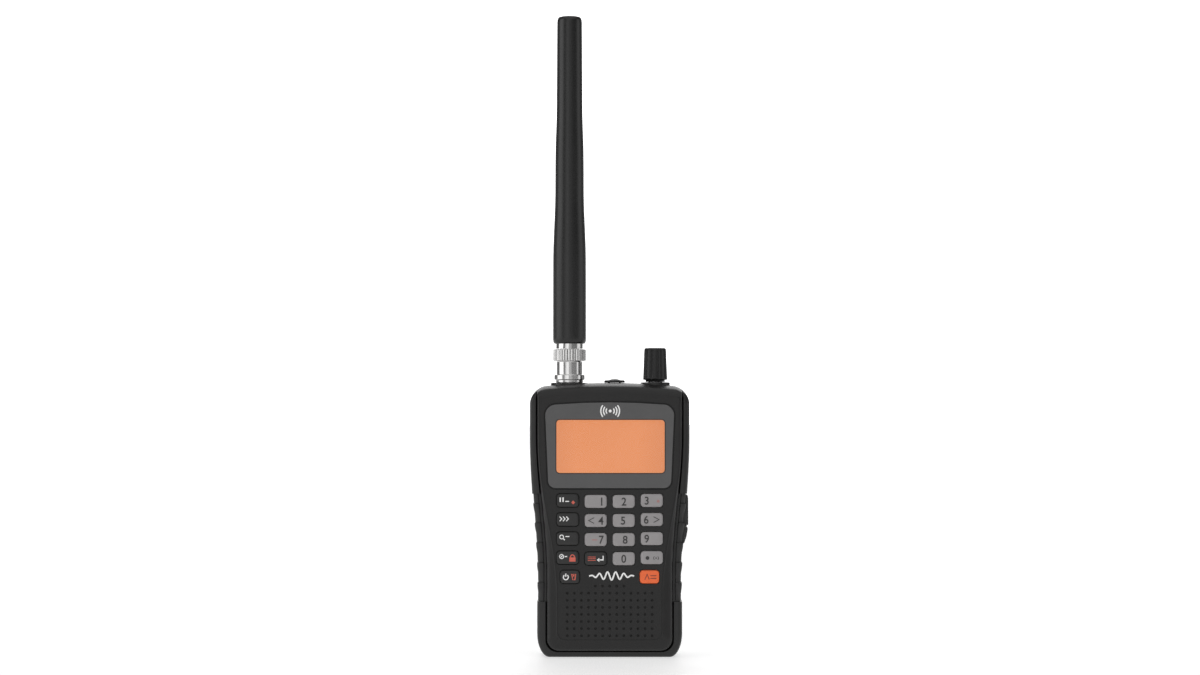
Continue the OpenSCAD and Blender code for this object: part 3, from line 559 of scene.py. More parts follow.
def make_key(key_name):
    x, z, w = KEYS[key_name]
    edge = 0.45
    steps = [(0.0, INSIDE + 0.1), (0.0, KEY_TOP + CROWN + edge)]
    for i in range(1, 6):
        a = math.pi / 2 * i / 5
        steps.append((edge * (1 - math.cos(a)), KEY_TOP + CROWN + edge * (1 - math.sin(a))))
    for d in (0.6, 0.75, 0.9, 1.1):
        steps.append((d, KEY_TOP + CROWN * (1 - smooth(d / 1.1))))
    rings = [[(px, y, pz) for px, pz in round_rect(x, z, w - 2 * d, KEY_H - 2 * d, max(1.4 - d, 0.35))]
        for d, y in steps]
    cap = skin(key_name + "_cap", rings)
    flange = plate("flange", round_rect(x, z, w + 1.4, KEY_H + 1.4, 1.4), INSIDE + 0.1, INSIDE + 0.7)
    stem = plate("stem", round_rect(x, z, w - 3.6, KEY_H - 2, 0.5), INSIDE + 0.7, FRONT + 5.05)
    ob = joined(key_name + "_cap", [cap, flange, stem])
    soften(ob, 0.12, 2, 40)
    slot = "orange_key" if key_name == "key_function" else "dark_key" if key_name in DARK_KEYS else "grey_key"
    piece(ob, key_name + "_body", slot, key_name)


# ---------------------------------------------------------------- printed marks

def stroke(points, width, closed=False):
    """A flat ribbon along points, as a list of (x, z) vertices and faces."""
    n = len(points)
    verts, faces = [], []
    for i in range(n):
        a = points[i - 1] if i or closed else points[0]
        b = points[(i + 1) % n] if i < n - 1 or closed else points[n - 1]
        tx, tz = b[0] - a[0], b[1] - a[1]
        length = math.hypot(tx, tz)
        px, pz = -tz / length * width / 2, tx / length * width / 2
        corner = 1.0
        if 0 < i < n - 1 or closed:
            ux, uz = points[i][0] - a[0], points[i][1] - a[1]
            along = (ux * tx + uz * tz) / (math.hypot(ux, uz) * length)
            corner = 1 / max(along, 0.5)
        verts += [(points[i][0] + px * corner, points[i][1] + pz * corner),
            (points[i][0] - px * corner, points[i][1] - pz * corner)]
    for i in range(n if closed else n - 1):
        j = (i + 1) % n
        faces.append((2 * i, 2 * i + 1, 2 * j + 1, 2 * j))
    return verts, faces


def disc(x, z, r, n=20):
    return [(x + r * math.cos(2 * math.pi * i / n), z + r * math.sin(2 * math.pi * i / n)) for i in range(n)], \
        [tuple(range(n))]


def shape(points):
    return list(points), [tuple(range(len(points)))]


def ring(x, z, r, width, a0=0, a1=360, n=24):
    whole = a1 - a0 >= 360
    points = arc(x, z, r, r, a0, a1, n)
    return stroke(points[:-1] if whole else points, width, whole)


def digit(text, x, z, height):
    """A character of the built-in font, centred on x, z, as flat vertices and faces."""
    curve = bpy.data.curves.new("digit", "FONT")
    curve.body = text
    curve.resolution_u = 6
    curve.offset = 0.018
    ob = link_mesh("digit", curve)
    mesh = bpy.data.meshes.new_from_object(ob.evaluated_get(bpy.context.evaluated_depsgraph_get()))
    bpy.data.objects.remove(ob)
    xs = [v.co.x for v in mesh.vertices]
    ys = [v.co.y for v in mesh.vertices]
    k = height / (max(ys) - min(ys))
    squeeze = 0.92
    verts = [(x + (v.co.x - (min(xs) + max(xs)) / 2) * k * squeeze, z + (v.co.y - (min(ys) + max(ys)) / 2) * k)
        for v in mesh.vertices]
    faces = [tuple(p.vertices) for p in mesh.polygons]
    bpy.data.meshes.remove(mesh)
    return verts, faces


def printed(name, parts, surface, body, slot, lift=0.025, finish=None):
    """Thin printed marks that lie on a surface: surface(x, z) gives its depth."""
    verts, faces = [], []
    for part_verts, part_faces in parts:
        start = len(verts)
        count = len(part_verts)
        verts += [(x, surface(x, z) - lift, z) for x, z in part_verts]
        verts += [(x, surface(x, z) + 0.02, z) for x, z in part_verts]
        edges = {}
        for f in part_faces:
            faces.append(tuple(start + i for i in f))
            faces.append(tuple(start + count + i for i in reversed(f)))
            for i in range(len(f)):
                edges[(f[i], f[(i + 1) % len(f)])] = True
        for a, b in edges:
            if (b, a) not in edges:
                faces.append((start + b, start + a, start + count + a, start + count + b))
    return piece(solid(name, verts, faces), body, slot, finish=finish)


def chevron(x, z, w, h, width):
    return stroke([(x - w / 2, z + h / 2), (x + w / 2, z), (x - w / 2, z - h / 2)], width)


def bar(x0, z0, x1, z1, width):
    return stroke([(x0, z0), (x1, z1)], width)


# Offset of each digit from the middle of its key
DIGITS = {"1": 2.5, "2": 0.1, "3": -2.1, "4": 2.2, "5": -0.3, "6": -2.3, "7": 2.4, "8": 0.6, "9": -2.1,
    "0": 0.0}


def mark_keys():
    def on(key_name, parts, slot, suffix, finish=None):
        printed(f"{key_name}_{suffix}", parts, lambda x, z: key_surface(key_name, x, z), key_name + "_body",
            slot, finish=finish)

    for text, dx in DIGITS.items():
        key_name = "key_" + text
        x, z, _ = KEYS[key_name]
        parts = [digit(text, x + dx, z - 0.05, 3.4)]
        if text == "4":
            parts.append(chevron(x - 1.8, z, -2.3, 2.4, 0.34))
        if text == "6":
            parts.append(chevron(x + 1.9, z, 2.3, 2.4, 0.34))
        on(key_name, parts, "dark_print", "digit")
    x, z, _ = KEYS["key_3"]
    on("key_3", [disc(x + 2.7, z - 0.3, 0.6)], "orange_print", "tint", finish="faint_print")
    x, z, _ = KEYS["key_7"]
    on("key_7", [bar(x - 1.6, z - 0.1, x + 0.7, z - 0.1, 0.5)], "orange_print", "tint", finish="faint_print")
    x, z, _ = KEYS["key_dot"]
    on("key_dot", [disc(x - 1.8, z - 0.1, 0.8), ring(x + 1.5, z - 0.15, 0.75, 0.26, 120, 240, 8),
        ring(x + 2.1, z - 0.15, 0.75, 0.26, -60, 60, 8), disc(x + 1.8, z - 0.15, 0.3, 12)],
        "dark_print", "mark")

    x, z, _ = KEYS["key_hold"]
    on("key_hold", [bar(x - 3.1, z - 0.6, x - 3.1, z + 1.3, 0.55),
        bar(x - 1.9, z - 0.6, x - 1.9, z + 1.3, 0.55),
        bar(x - 1.0, z - 0.35, x + 0.6, z - 0.35, 0.4)], "white_print", "mark")
    on("key_hold", [shape([(x + 2.3, z - 1.6), (x + 3.1, z - 0.8), (x + 2.3, z), (x + 1.5, z - 0.8)])],
        "orange_print", "second_mark")
    x, z, _ = KEYS["key_scan"]
    on("key_scan", [chevron(x + dx, z + 0.3, 0.9, 1.9, 0.38) for dx in (-2.9, -1.5, -0.1)],
        "white_print", "mark")
    x, z, _ = KEYS["key_search"]
    on("key_search", [ring(x - 2.5, z + 0.7, 0.8, 0.36), bar(x - 1.9, z + 0.1, x - 1.2, z - 0.6, 0.42),
        bar(x - 0.9, z + 0.9, x + 0.7, z + 0.9, 0.4)], "white_print", "mark")
    x, z, _ = KEYS["key_lockout"]
    on("key_lockout", [ring(x - 2.5, z + 0.5, 0.85, 0.34), bar(x - 3.1, z - 0.1, x - 1.9, z + 1.1, 0.3),
        bar(x - 1.2, z + 0.5, x - 0.2, z + 0.5, 0.4)], "white_print", "mark")
    on("key_lockout",
        [shape([(x + 0.7, z - 1.6), (x + 3.3, z - 1.6), (x + 3.3, z + 0.15), (x + 0.7, z + 0.15)]),
        stroke(arc(x + 2, z + 0.2, 0.85, 1.0, 0, 180, 12), 0.42)], "orange_print", "second_mark")
    x, z, _ = KEYS["key_enter"]
    on("key_enter", [stroke([(x + 3.1, z + 1.2), (x + 3.1, z - 0.5), (x + 1.2, z - 0.5)], 0.42),
        shape([(x + 0.5, z - 0.5), (x + 1.5, z - 1.35), (x + 1.5, z + 0.35)])], "white_print", "mark")
    on("key_enter", [bar(x - 3.3, z + dz, x, z + dz, 0.24) for dz in (0.7, 0.0, -0.7)],
        "orange_print", "second_mark")
    x, z, _ = KEYS["key_power"]
    on("key_power", [ring(x - 1.7, z - 0.1, 1.05, 0.42, 125, 415, 24),
        bar(x - 1.7, z + 0.1, x - 1.7, z + 1.4, 0.42)], "white_print", "mark")
    cup = [(x + 0.75, z + 1.1), (x + 1.15, z - 1.2), (x + 2.05, z - 1.2), (x + 2.45, z + 1.1)]
    on("key_power", [stroke(cup, 0.26, True), disc(x + 1.6, z + 0.5, 0.34, 12)], "orange_print", "second_mark")
    x, z, _ = KEYS["key_function"]
    on("key_function", [stroke([(x - 1.9, z - 1.1), (x - 1.0, z + 1.1), (x - 0.1, z - 1.1)], 0.36),
        bar(x + 0.4, z + 0.5, x + 2.9, z + 0.5, 0.36), bar(x + 0.4, z - 0.6, x + 2.9, z - 0.6, 0.36)],
        "dark_print", "mark", finish="brown_print")


# ---------------------------------------------------------------- case

def grille_holes():
    """Seven rows of thirteen holes, and five above them."""
    pitch, foot = 2.95, 9.4
    return [((c - 6) * pitch, foot + r * pitch) for c in range(13) for r in range(8)
        if r < 7 or abs(c - 6) <= 2]


# Front shell from the raised panel out to the seam: share of the way, inset and depth
FLANK = ((0.0, 0.75, -0.3), (0.0, 0.75, 0.0), (0.0, 0.72, 0.17), (0.0, 0.44, 0.17), (0.0, 0.41, 0.04),
    (0.0, 0.22, 0.08), (0.0, 0.1, 0.16), (0.01, 0.02, 0.3), (0.08, 0.0, 0.42), (0.3, 0.02, 0.68),
    (0.55, 0.08, 1.0), (0.78, 0.18, 1.4), (0.92, 0.22, 1.85), (1.0, 0.18, 2.4), (1.0, 0.1, 3.0),
    (1.0, 0.02, 3.6), (1.0, 0.0, 3.9), (1.0, 0.0, 7.0))


def make_front():
    rings = []
    for share, d, depth in FLANK:
        foot = lerp(7.1, 2.8, share)
        rings.append([(x, FRONT + depth, z) for x, z in panel_outline(share, foot, d)])
    ob = skin("front_shell", rings)
    cap = box("cap", -30.3, 30.3, RIM + 2, SEAM, 106, HEIGHT + 5)
    combine(ob, cap, "UNION")
    combine(ob, case_block("block", FRONT, BACK, 2.4, 2.4), "INTERSECT")
    inner = plate("inner", panel_outline(1, 2.8, 3.2), INSIDE, RIM - 0.7)
    combine(inner, plate("walls", inset(CASE, WALL), INSIDE - 1, RIM), "INTERSECT")
    combine(ob, inner)
    inner = plate("inner", panel_outline(1, 2.8, 1.5), RIM - 0.8, SEAM + 1)
    combine(inner, plate("walls", inset(CASE, WALL), INSIDE, SEAM + 2), "INTERSECT")
    combine(ob, inner)
    combine(ob, plate("recess", window_outline(0.55), FRONT - 1, FRONT + 1.1))
    holes = [plate("hole", round_rect(DISPLAY_X, DISPLAY_Z, 46.9, 23.8, 2), FRONT - 1, INSIDE + 1)]
    for x, z, w in KEYS.values():
        holes.append(plate("hole", round_rect(x, z, w + 0.6, KEY_H + 0.6, 1.7), FRONT - 1, INSIDE + 1))
    for x, z in grille_holes():
        holes.append(plate("hole", arc(x, z, 0.56, 0.56, 15, 345, 11), FRONT - 1, INSIDE + 1))
    combine(ob, joined("holes", holes))
    soften(ob, 0.14, 2, 34)
    piece(ob, "case", "front_plastic", "front_case")
    dots = [plate("dot", arc(x, z, 0.6, 0.6, 15, 345, 11), FRONT + 0.42, FRONT + 0.6)
        for x, z in grille_holes()]
    piece(joined("grille_gauze", dots), "case", "grille_cloth")


def make_window():
    """The display's window: a grey frame round a clear pane, the lit panel behind and the sign above."""
    lens = skin("window_frame", [[(x, y, z) for x, z in window_outline(-d)]
        for d, y in ((0.05, FRONT + 1.05), (0.05, FRONT + 0.22), (0.12, FRONT + 0.1), (0.28, FRONT + 0.04))])
    combine(lens, plate("clear", round_rect(DISPLAY_X, DISPLAY_Z, 45.3, 22.2, 1.5, 8), FRONT - 1, FRONT + 2))
    soften(lens, 0.03, 2, 40)
    piece(lens, "case", "window_lens", "display_window")
    gasket = plate("display_gasket", round_rect(DISPLAY_X, DISPLAY_Z, 46.0, 22.9, 1.8, 8),
        FRONT + 0.02, FRONT + 0.5)
    combine(gasket, plate("clear", round_rect(DISPLAY_X, DISPLAY_Z, 45.25, 22.15, 1.45, 8),
        FRONT - 1, FRONT + 2))
    piece(gasket, "case", "black_resin")
    pane = plate("window_pane", round_rect(DISPLAY_X, DISPLAY_Z, 45.28, 22.18, 1.49, 8),
        FRONT + 0.05, FRONT + 0.6)
    piece(pane, "case", "window_lens", finish="clear_pane")
    lcd = plate("display_panel", round_rect(DISPLAY_X, DISPLAY_Z, 49, 28, 0.6), INSIDE + 0.1, INSIDE + 1.8)
    soften(lcd, 0.1, 2, 40)
    piece(lcd, "case", "lcd_panel", "lcd_glass")

    def face(x, z):
        return FRONT + 0.04
    sign = [disc(0.2, 103.1, 0.62)]
    for r in (1.7, 2.8, 3.9):
        sign += [ring(0.2, 103.1, r, 0.52, -38, 38, 10), ring(0.2, 103.1, r, 0.52, 142, 218, 10)]
    printed("wave_sign", sign, face, "case", "white_print", 0.02)


def make_wave_mark():
    points = []
    for i in range(121):
        t = i / 120
        x = lerp(-8.6, 10.2, t)
        swell = math.sin(math.pi * t) ** 1.2
        points.append((x, 34.3 + 1.7 * swell * math.sin(2 * math.pi * 5.5 * t)))
    printed("wave_line", [stroke(points, 0.62)], lambda x, z: FRONT, "case", "white_print", 0.03)


def make_rear():
    """The rear half, with the battery bay, the bosses on the top and the recesses for the grips."""
    ob = case_block("rear_shell", RIM, BACK, 1.9, 2.4)
    rings = []
    for grow, depth in ((0.62, -3), (0.62, 0), (0.4, 0.22), (0.26, 0.5), (0.18, 1.0), (0.15, 2.8)):
        rings.append([(x, RIM + depth, z) for x, z in panel_outline(1, 2.8, -grow)])
    combine(ob, skin("rim", rings))
    combine(ob, plate("cavity", inset(CASE, WALL), RIM + 2.7, BACK - WALL))
    combine(ob, box("top_cut", -30.45, 30.45, FRONT - 1, SEAM + 0.1, HEIGHT - 10, HEIGHT + 2))
    for side in (-1, 1):
        zone = box("zone", *sorted((side * 20, side * 40)), RIM - 3, 9, GRIP_FOOT, GRIP_TOP)
        combine(zone, case_block("core", RIM, BACK, 1.9, 2.4, 1.1))
        combine(ob, zone)
    combine(ob, box("bay", -17.7, 17.7, -1.9, BACK - WALL + 0.01, WALL - 0.01, 59.7), "UNION")
    for x, r, top in ((JACK_X, 7.9, HEIGHT), (KNOB_X, 6.2, HEIGHT + 0.2)):
        boss = turned("boss", [(0.01, HEIGHT - 3), (r, HEIGHT - 3), (r, top - 0.35), (r - 0.12, top - 0.1),
            (r - 0.4, top), (0.01, top)], x, TOP_Y, 72)
        combine(ob, boss, "UNION")
    for x in (-0.7, 3.9):
        combine(ob, box("ear", x, x + 1, 6.1, 7.3, HEIGHT - 1, HEIGHT + 1.0), "UNION")
    cuts = [box("bay", -16.4, 16.4, -0.6, BACK - WALL, 3, 58.4),
        box("door", -17.1, 17.1, BACK - 2.05, BACK + 1, -1, 56.5),
        box("grooves", -17.8, 17.8, BACK - 2.05, BACK - 1.1, -1, 54.1)]
    for x, r in ((JACK_X, 4.8), (SOCKET_X, 3.1), (KNOB_X, 3.6)):
        cuts.append(turned("hole", [(r, HEIGHT - 6), (r, HEIGHT + 2)], x, TOP_Y, 48))
    for x, z in ((27.3, 99), (-27.3, 99), (20.6, 12), (-20.6, 12)):
        cuts.append(plate("hole", arc(x, z, 2.1, 2.1, 8, 352, 31), BACK - 3.4, BACK + 1))
    for x in (-5, 5):
        cuts.append(plate("hole", arc(x, 88, 0.95, 0.95, 8, 352, 23), BACK - 5, BACK + 1))
    for cut in cuts:
        combine(ob, cut)
    port = round_rect(USB_Y, USB_Z, 4.5, 8.3, 0.8)
    combine(ob, skin("port", [[(x, y, z) for y, z in port] for x in (27, 40)]))
    soften(ob, 0.16, 2, 34)
    piece(ob, "case", "rear_plastic", "rear_case")


def pad_depth(z):
    """How far the grip's face lies in: each pad stands out at its top and falls away below."""
    p = ((GRIP_TOP - 4.0 - z) / 8.35) % 1.0
    if z > GRIP_TOP - 4.0:
        return 0.42
    return 0.48 * smooth((p - 0.1) / 0.62) * (1 - smooth((p - 0.93) / 0.07))


def make_grip(side, name):
    """A rubber grip let into one side. side is -1 for the left and 1 for the right."""
    rings = []
    count = 190
    for k in range(count + 1):
        z = lerp(GRIP_FOOT + 0.12, GRIP_TOP - 0.12, k / count)
        end = min(z - GRIP_FOOT, GRIP_TOP - z)
        d = min(0.1 + pad_depth(z) + 0.35 * (1 - smooth((end - 0.1) / 0.45)), 0.7)
        x_in, x_out = seam_half(z) + 1.12, half_width(z) - d
        r = min(1.8, x_out - x_in - 0.42)
        front = RIM + min(0.1 + 1.5 * pad_depth(z), 0.9)
        path = [(x_in, front + 0.25), (x_in + 0.12, front + 0.06), (x_in + 0.35, front)]
        path += [(x_out - r + r * math.sin(a), front + r - r * math.cos(a))
            for a in [math.pi / 2 * i / 8 for i in range(9)]]
        path += [(x_out, 0.0), (x_out, 8.5), (x_out - 0.1, 8.78), (x_out - 0.3, 8.88)]
        floor_x, floor_y = half_width(z) - 1.08, RIM + 1.08
        back = [(floor_x, 8.88), (floor_x, 0.0)]
        back += [(floor_x - 0.8 + 0.8 * math.cos(a), floor_y + 0.8 - 0.8 * math.sin(a))
            for a in [math.pi / 2 * i / 4 for i in range(5)]]
        back += [(x_in, floor_y)]
        rings.append([(side * x, y, z) for x, y in path + back])
    ob = skin(name + "_pads", rings)
    if side > 0:
        combine(ob, box("port_zone", 20, 40, USB_Y - 6.1, USB_Y + 6.1, 47.5, GRIP_TOP + 1))
    soften(ob, 0.1, 2, 50)
    piece(ob, "case", "grip_rubber", name)


# ---------------------------------------------------------------- top fittings and antenna

def make_nut():
    """The bayonet nut: a ring at the foot, a plain neck and a knurled grip."""
    foot, knurl, top = HEIGHT + 0.53, HEIGHT + 9.2, HEIGHT + 14.2

    def teeth(a, r, z):
        if z < knurl or r < 6.7:
            return r
        wave = abs(((a * 36 / (2 * math.pi)) % 1.0) - 0.5) * 2
        return r - 0.36 * (1 - min(1.0, wave * 1.5))
    outer = [(4.5, foot), (5.2, foot), (5.2, HEIGHT + 0.08), (5.7, HEIGHT + 0.08), (5.8, HEIGHT + 0.2),
        (5.8, HEIGHT + 0.35), (5.8, foot + 0.45), (5.8, foot + 0.6), (5.85, foot + 0.68), (6.4, foot + 0.7),
        (6.5, foot + 0.8), (6.5, foot + 1.0), (6.5, foot + 2.5), (6.5, foot + 2.7), (6.4, foot + 2.8),
        (5.5, foot + 2.82), (5.42, foot + 2.9), (5.42, foot + 3.1),
        (5.42, foot + 3.3), (5.42, knurl - 0.5), (5.42, knurl - 0.25), (5.6, knurl - 0.1), (6.5, knurl),
        (6.9, knurl + 0.08), (6.98, knurl + 0.16),
        (6.98, knurl + 0.35), (6.98, top - 0.35), (6.98, top - 0.16), (6.9, top - 0.08), (6.5, top), (4.3, top),
        (4.15, top - 0.15)]
    inner = [(4.15, knurl + 0.4), (4.5, knurl + 0.4)]
    ob = turned("bayonet_nut", outer + inner, JACK_X, TOP_Y, 288, teeth, closed=True)
    soften(ob, 0.05, 2, 60)
    piece(ob, "nut", "nickel", "coupling_nut")


WHIP_Z = HEIGHT + 16.5
WHIP_L = 138.8
WHIP_SHAPE = ((0.0, 6.35), (0.004, 6.85), (0.012, 7.02), (0.2, 7.02), (0.26, 7.0), (0.3, 6.9), (0.36, 6.55),
    (0.42, 6.2), (0.46, 6.1), (0.55, 6.06), (0.6, 5.98), (0.65, 5.72), (0.7, 5.52), (0.8, 5.43), (0.95, 5.32),
    (0.985, 5.28), (0.993, 5.1), (0.998, 4.6), (1.0, 3.6))


def whip_radius(t):
    for (t0, r0), (t1, r1) in zip(WHIP_SHAPE, WHIP_SHAPE[1:]):
        if t <= t1:
            return lerp(r0, r1, (t - t0) / (t1 - t0))
    return WHIP_SHAPE[-1][1]


def make_whip():
    stops = sorted({i / 160 for i in range(161)} | {0.002, 0.004, 0.008, 0.99, 0.996, 0.998, 0.999})
    raw = [whip_radius(t) for t in stops]
    for _ in range(2):
        raw = [raw[0]] + [(raw[i - 1] + 2 * raw[i] + raw[i + 1]) / 4 if 0.02 < stops[i] < 0.97 else raw[i]
            for i in range(1, len(raw) - 1)] + [raw[-1]]
    profile = [(r, WHIP_Z + t * WHIP_L) for t, r in zip(stops, raw)]
    profile = [(3.3, WHIP_Z)] + profile + [(0.3, WHIP_Z + WHIP_L)]
    ob = turned("antenna_whip", profile, JACK_X, TOP_Y, 72)
    soften(ob, 0.06, 2, 50)
    piece(ob, "whip", "whip_rubber", "whip_sheath")


def make_knob():
    foot, top = HEIGHT + 0.35, HEIGHT + 14.7

    def flutes(a, r, z):
        if r < 3.7 or z < foot + 0.95:
            return r
        groove = 0.5 + 0.5 * math.cos(10 * a)
        return r - 0.42 * groove ** 5 * min(1.0, (z - foot - 0.9) / 0.8) * (1 if z < top - 0.2 else 0.6)
    body = [(3.05, foot), (4.0, foot), (4.1, foot + 0.1), (4.1, foot + 0.8), (5.0, foot + 0.92),
        (5.2, foot + 1.1), (5.18, foot + 1.6), (5.05, foot + 4.5), (4.9, foot + 8), (4.75, top - 1.8),
        (4.66, top - 0.7), (4.55, top - 0.28), (4.3, top - 0.06), (3.95, top), (3.5, top - 0.04),
        (3.2, top - 0.22), (2.6, top - 0.34), (1.2, top - 0.4), (0.05, top - 0.4)]
    ob = turned("volume_knob_cap", body, KNOB_X, TOP_Y, 192, flutes)
    soften(ob, 0.05, 2, 60)
    piece(ob, "volume", "knob_plastic", "volume_knob")
    x0, y0 = KNOB_X, TOP_Y - 3.0
    line = solid("knob_index", [(x0 - 0.22, y0 - 1.0, top - 0.02), (x0 + 0.22, y0 - 1.0, top - 0.02),
        (x0 + 0.22, y0 + 1.6, top - 0.3),
        (x0 - 0.22, y0 + 1.6, top - 0.3), (x0 - 0.22, y0 - 1.0, top - 0.5), (x0 + 0.22, y0 - 1.0, top - 0.5),
        (x0 + 0.22, y0 + 1.6, top - 0.6), (x0 - 0.22, y0 + 1.6, top - 0.6)],
        [(0, 1, 2, 3), (7, 6, 5, 4), (0, 4, 5, 1), (1, 5, 6, 2), (2, 6, 7, 3), (3, 7, 4, 0)])
    soften(line, 0.03)
    piece(line, "volume", "white_print")


def make_socket_cover():
    z = HEIGHT + 0.05
    dome = ((0.05, 0), (4.2, 0), (4.36, 0.12), (4.4, 0.35), (4.38, 0.7), (4.25, 0.92), (4.0, 1.03), (2.6, 1.07),
        (2.25, 1.12), (1.9, 1.3), (1.5, 1.45), (0.8, 1.53), (0.05, 1.55))
    pad = turned("socket_cover", [(r, z + rise) for r, rise in dome], SOCKET_X, TOP_Y, 72)
    strap = box("strap", SOCKET_X - 1.6, SOCKET_X + 1.6, TOP_Y + 3.5, 6.7, z, z + 0.7)
    barrel = skin("barrel", [[(x, 6.7 + 0.45 * math.cos(a), HEIGHT + 0.5 + 0.45 * math.sin(a))
        for a in [math.pi * 2 * i / 20 for i in range(20)]] for x in (SOCKET_X - 1.6, SOCKET_X + 1.6)])
    combine(pad, strap, "UNION")
    combine(pad, barrel, "UNION")
    soften(pad, 0.08, 2, 40)
    piece(pad, "cover", "cover_rubber", "jack_cover")


# ---------------------------------------------------------------- back of the case

# Side profile of the clip, as depth behind the back wall and height
PADDLE = ((1, 44.5), (1.5, 42.6), (3.2, 42.4), (6.1, 47.5), (7.2, 54), (7.5, 62), (7.7, 84), (9.1, 89),
    (9.2, 96), (9.2, 102), (8.9, 106.3), (7.6, 106.3), (7.1, 102), (7.1, 90), (5.5, 84.5), (5.3, 62),
    (4.9, 55), (3.6, 49.5), (1.6, 46))


def rounded_off(points, times=2):
    """Cuts the corners of a closed outline, each time at a quarter of both sides."""
    for _ in range(times):
        points = [(lerp(a[0], b[0], t), lerp(a[1], b[1], t)) for a, b in zip(points, points[1:] + points[:1])
            for t in (0.25, 0.75)]
    return points


def rod_x(name, y, z, r, x0, x1, n=40):
    circle = [(r * math.cos(2 * math.pi * i / n), r * math.sin(2 * math.pi * i / n)) for i in range(n)]
    return skin(name, [[(x, y + dy, z + dz) for dy, dz in circle] for x in (x0, x1)])


def wire(name, path, r, n=10):
    """A round wire along a path of (x, y, z) points that lie in planes across X."""
    points = [Vector(p) for p in path]
    circle = [(r * math.cos(2 * math.pi * k / n), r * math.sin(2 * math.pi * k / n)) for k in range(n)]
    side = Vector((1, 0, 0))
    rings = []
    for i, p in enumerate(points):
        along = (points[min(i + 1, len(points) - 1)] - points[max(i - 1, 0)]).normalized()
        side = (side - along * side.dot(along)).normalized()
        across = along.cross(side)
        rings.append([tuple(p + side * a + across * b) for a, b in circle])
    return skin(name, rings)


def make_clip_spring():
    """A torsion spring round the pin. One leg stays on the bracket and the other moves with the clip."""
    r, half, turns = 1.85, 3.1, 6.5

    def on_coil(x, turn):
        return (x, PIN_Y + r * math.cos(2 * math.pi * turn), PIN_Z - r * math.sin(2 * math.pi * turn))
    steps = round(turns * 24)
    coil = [on_coil(lerp(-half + 0.95, half, i / steps), i / 24) for i in range(steps + 1)]
    coil += [(half, PIN_Y - r, PIN_Z + rise) for rise in (0.6, 2.0, 3.6)]
    ob = wire("clip_spring_coil", coil, 0.35)
    ob.data.shade_smooth()
    piece(ob, "case", SLOTS["clip_spring"], "clip_spring")
    leg = [(-half, PIN_Y + r, PIN_Z + rise) for rise in (6.0, 3.0, 0.6)]
    leg += [on_coil(-half, i / 24) for i in range(8)]
    ob = wire("clip_spring_leg", leg, 0.35)
    ob.data.shade_smooth()
    piece(ob, "clip", SLOTS["clip_spring"])


def make_clip():
    """The belt clip's paddle, with thumb grooves and a sunk panel, and its two knuckles on the pin."""
    side = [(BACK + y, z) for y, z in rounded_off(list(PADDLE))]
    ob = skin("clip_paddle", [[(x, y, z) for y, z in side] for x in (-8.2, 8.2)])
    combine(ob, plate("outline", round_rect(0, 74.35, 16.38, 63.9, 3.2, 8), BACK, BACK + 12), "INTERSECT")
    cuts = [plate("panel", round_rect(0, 72, 9.6, 30, 4, 8), BACK + 7.2, BACK + 12)]
    cuts += [plate("groove", round_rect(0, 97.4 + 1.7 * i, 11.4, 0.8, 0.38, 4), BACK + 8.75, BACK + 12)
        for i in range(5)]
    for cut in cuts:
        combine(ob, cut)
    for x in (-6.6, 4.4):
        knuckle = rod_x("knuckle", PIN_Y, PIN_Z, 2.5, x, x + 2.2)
        combine(knuckle, box("arm", x, x + 2.2, PIN_Y, BACK + 7.6, PIN_Z - 2.6, PIN_Z + 2.6), "UNION")
        combine(knuckle, rod_x("bore", PIN_Y, PIN_Z, 1.05, x - 1, x + 3))
        combine(ob, knuckle, "UNION")
    soften(ob, 0.22, 2, 34)
    piece(ob, "clip", SLOTS["belt_clip"], "belt_clip", finish="clip_plastic")


def make_door_arrow():
    """A raised arrow on the battery door that shows which way it slides."""
    ob = plate("door_arrow", [(-2.8, 32), (0, 28), (2.8, 32)], BACK - 0.1, BACK + 0.3)
    soften(ob, 0.12, 2, 50)
    piece(ob, "door", SLOTS["battery_door"])


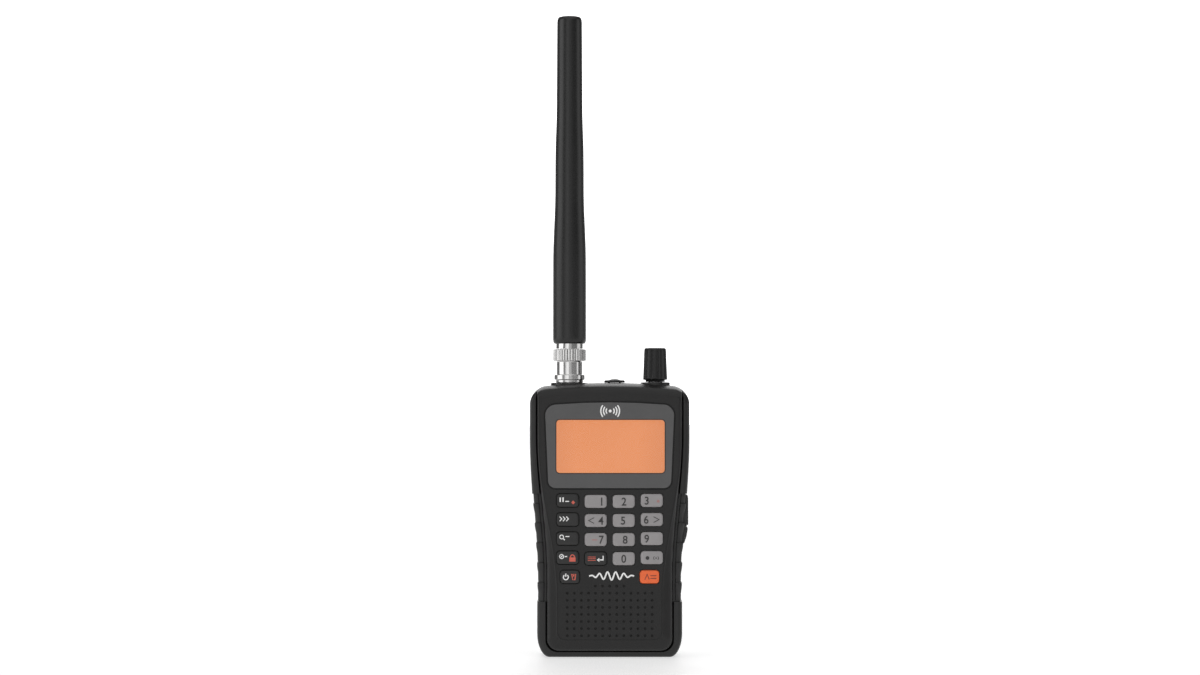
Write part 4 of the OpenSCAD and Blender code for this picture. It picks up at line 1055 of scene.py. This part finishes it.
def make_cell_bands():
    """A dark band round the positive end of each cell."""
    for name, x, z0, z1 in (("left_cell_band", -7.9, 46.0, 56.7), ("right_cell_band", 7.9, 4.7, 15.4)):
        ob = turned(name, [(7.0, z0), (7.14, z0), (7.14, z1), (7.0, z1)], x, 6.9, 64, closed=True)
        soften(ob, 0.02, 1, 40)
        piece(ob, "case", SLOTS["battery_cells"], finish="black_resin")


# ---------------------------------------------------------------- carried-over parts


def dress_frame():
    """Gives every CAD node that stays in view its finish, and rounds the edges of the outer ones."""
    rounded = {"clip_bracket": 0.25, "battery_door": 0.15, "port_cover": 0.2, "antenna_jack": 0.08,
        "case_screws": 0.08, "plug_body": 0.1, "clip_pin": 0.1, "volume_shaft": 0.1, "earphone_jack": 0.1,
        "usb_port": 0.1, "battery_cells": 0.3, "rf_shield": 0.15}
    for name, ob in frame["nodes"].items():
        if ob.hide_render:
            continue
        ob.data.materials.clear()
        ob.data.materials.append(FINISH[SLOTS[name]])
        if name in rounded:
            soften(ob, rounded[name], 2, 34, apply=False)


def make_floor():
    n = Nodes("floor")
    n.link(n.mix(n.noise(2.0, 2), (0.41, 0.41, 0.41), (0.43, 0.43, 0.43)), n.shader.inputs["Base Color"])
    n.link(n.ramp(n.noise(40, 3), 0.3, 0.7, 0.5, 0.6), n.shader.inputs["Roughness"])
    n.set(Emission_Color=(1, 1, 1, 1), Emission_Strength=0.58)
    mesh = bpy.data.meshes.new("floor")
    bm = bmesh.new()
    bmesh.ops.create_grid(bm, x_segments=40, y_segments=40, size=FLOOR_SIZE)
    bm.to_mesh(mesh)
    bm.free()
    ob = link_mesh("floor", mesh)
    mesh.materials.append(n.mat)


set_camera()
set_stage()
make_floor()
make_front()
make_window()
make_wave_mark()
make_rear()
make_grip(-1, "left_grip")
make_grip(1, "right_grip")
for key_name in KEYS:
    make_key(key_name)
mark_keys()
make_nut()
make_whip()
make_knob()
make_socket_cover()
make_clip_spring()
make_clip()
make_door_arrow()
make_cell_bands()
dress_frame()
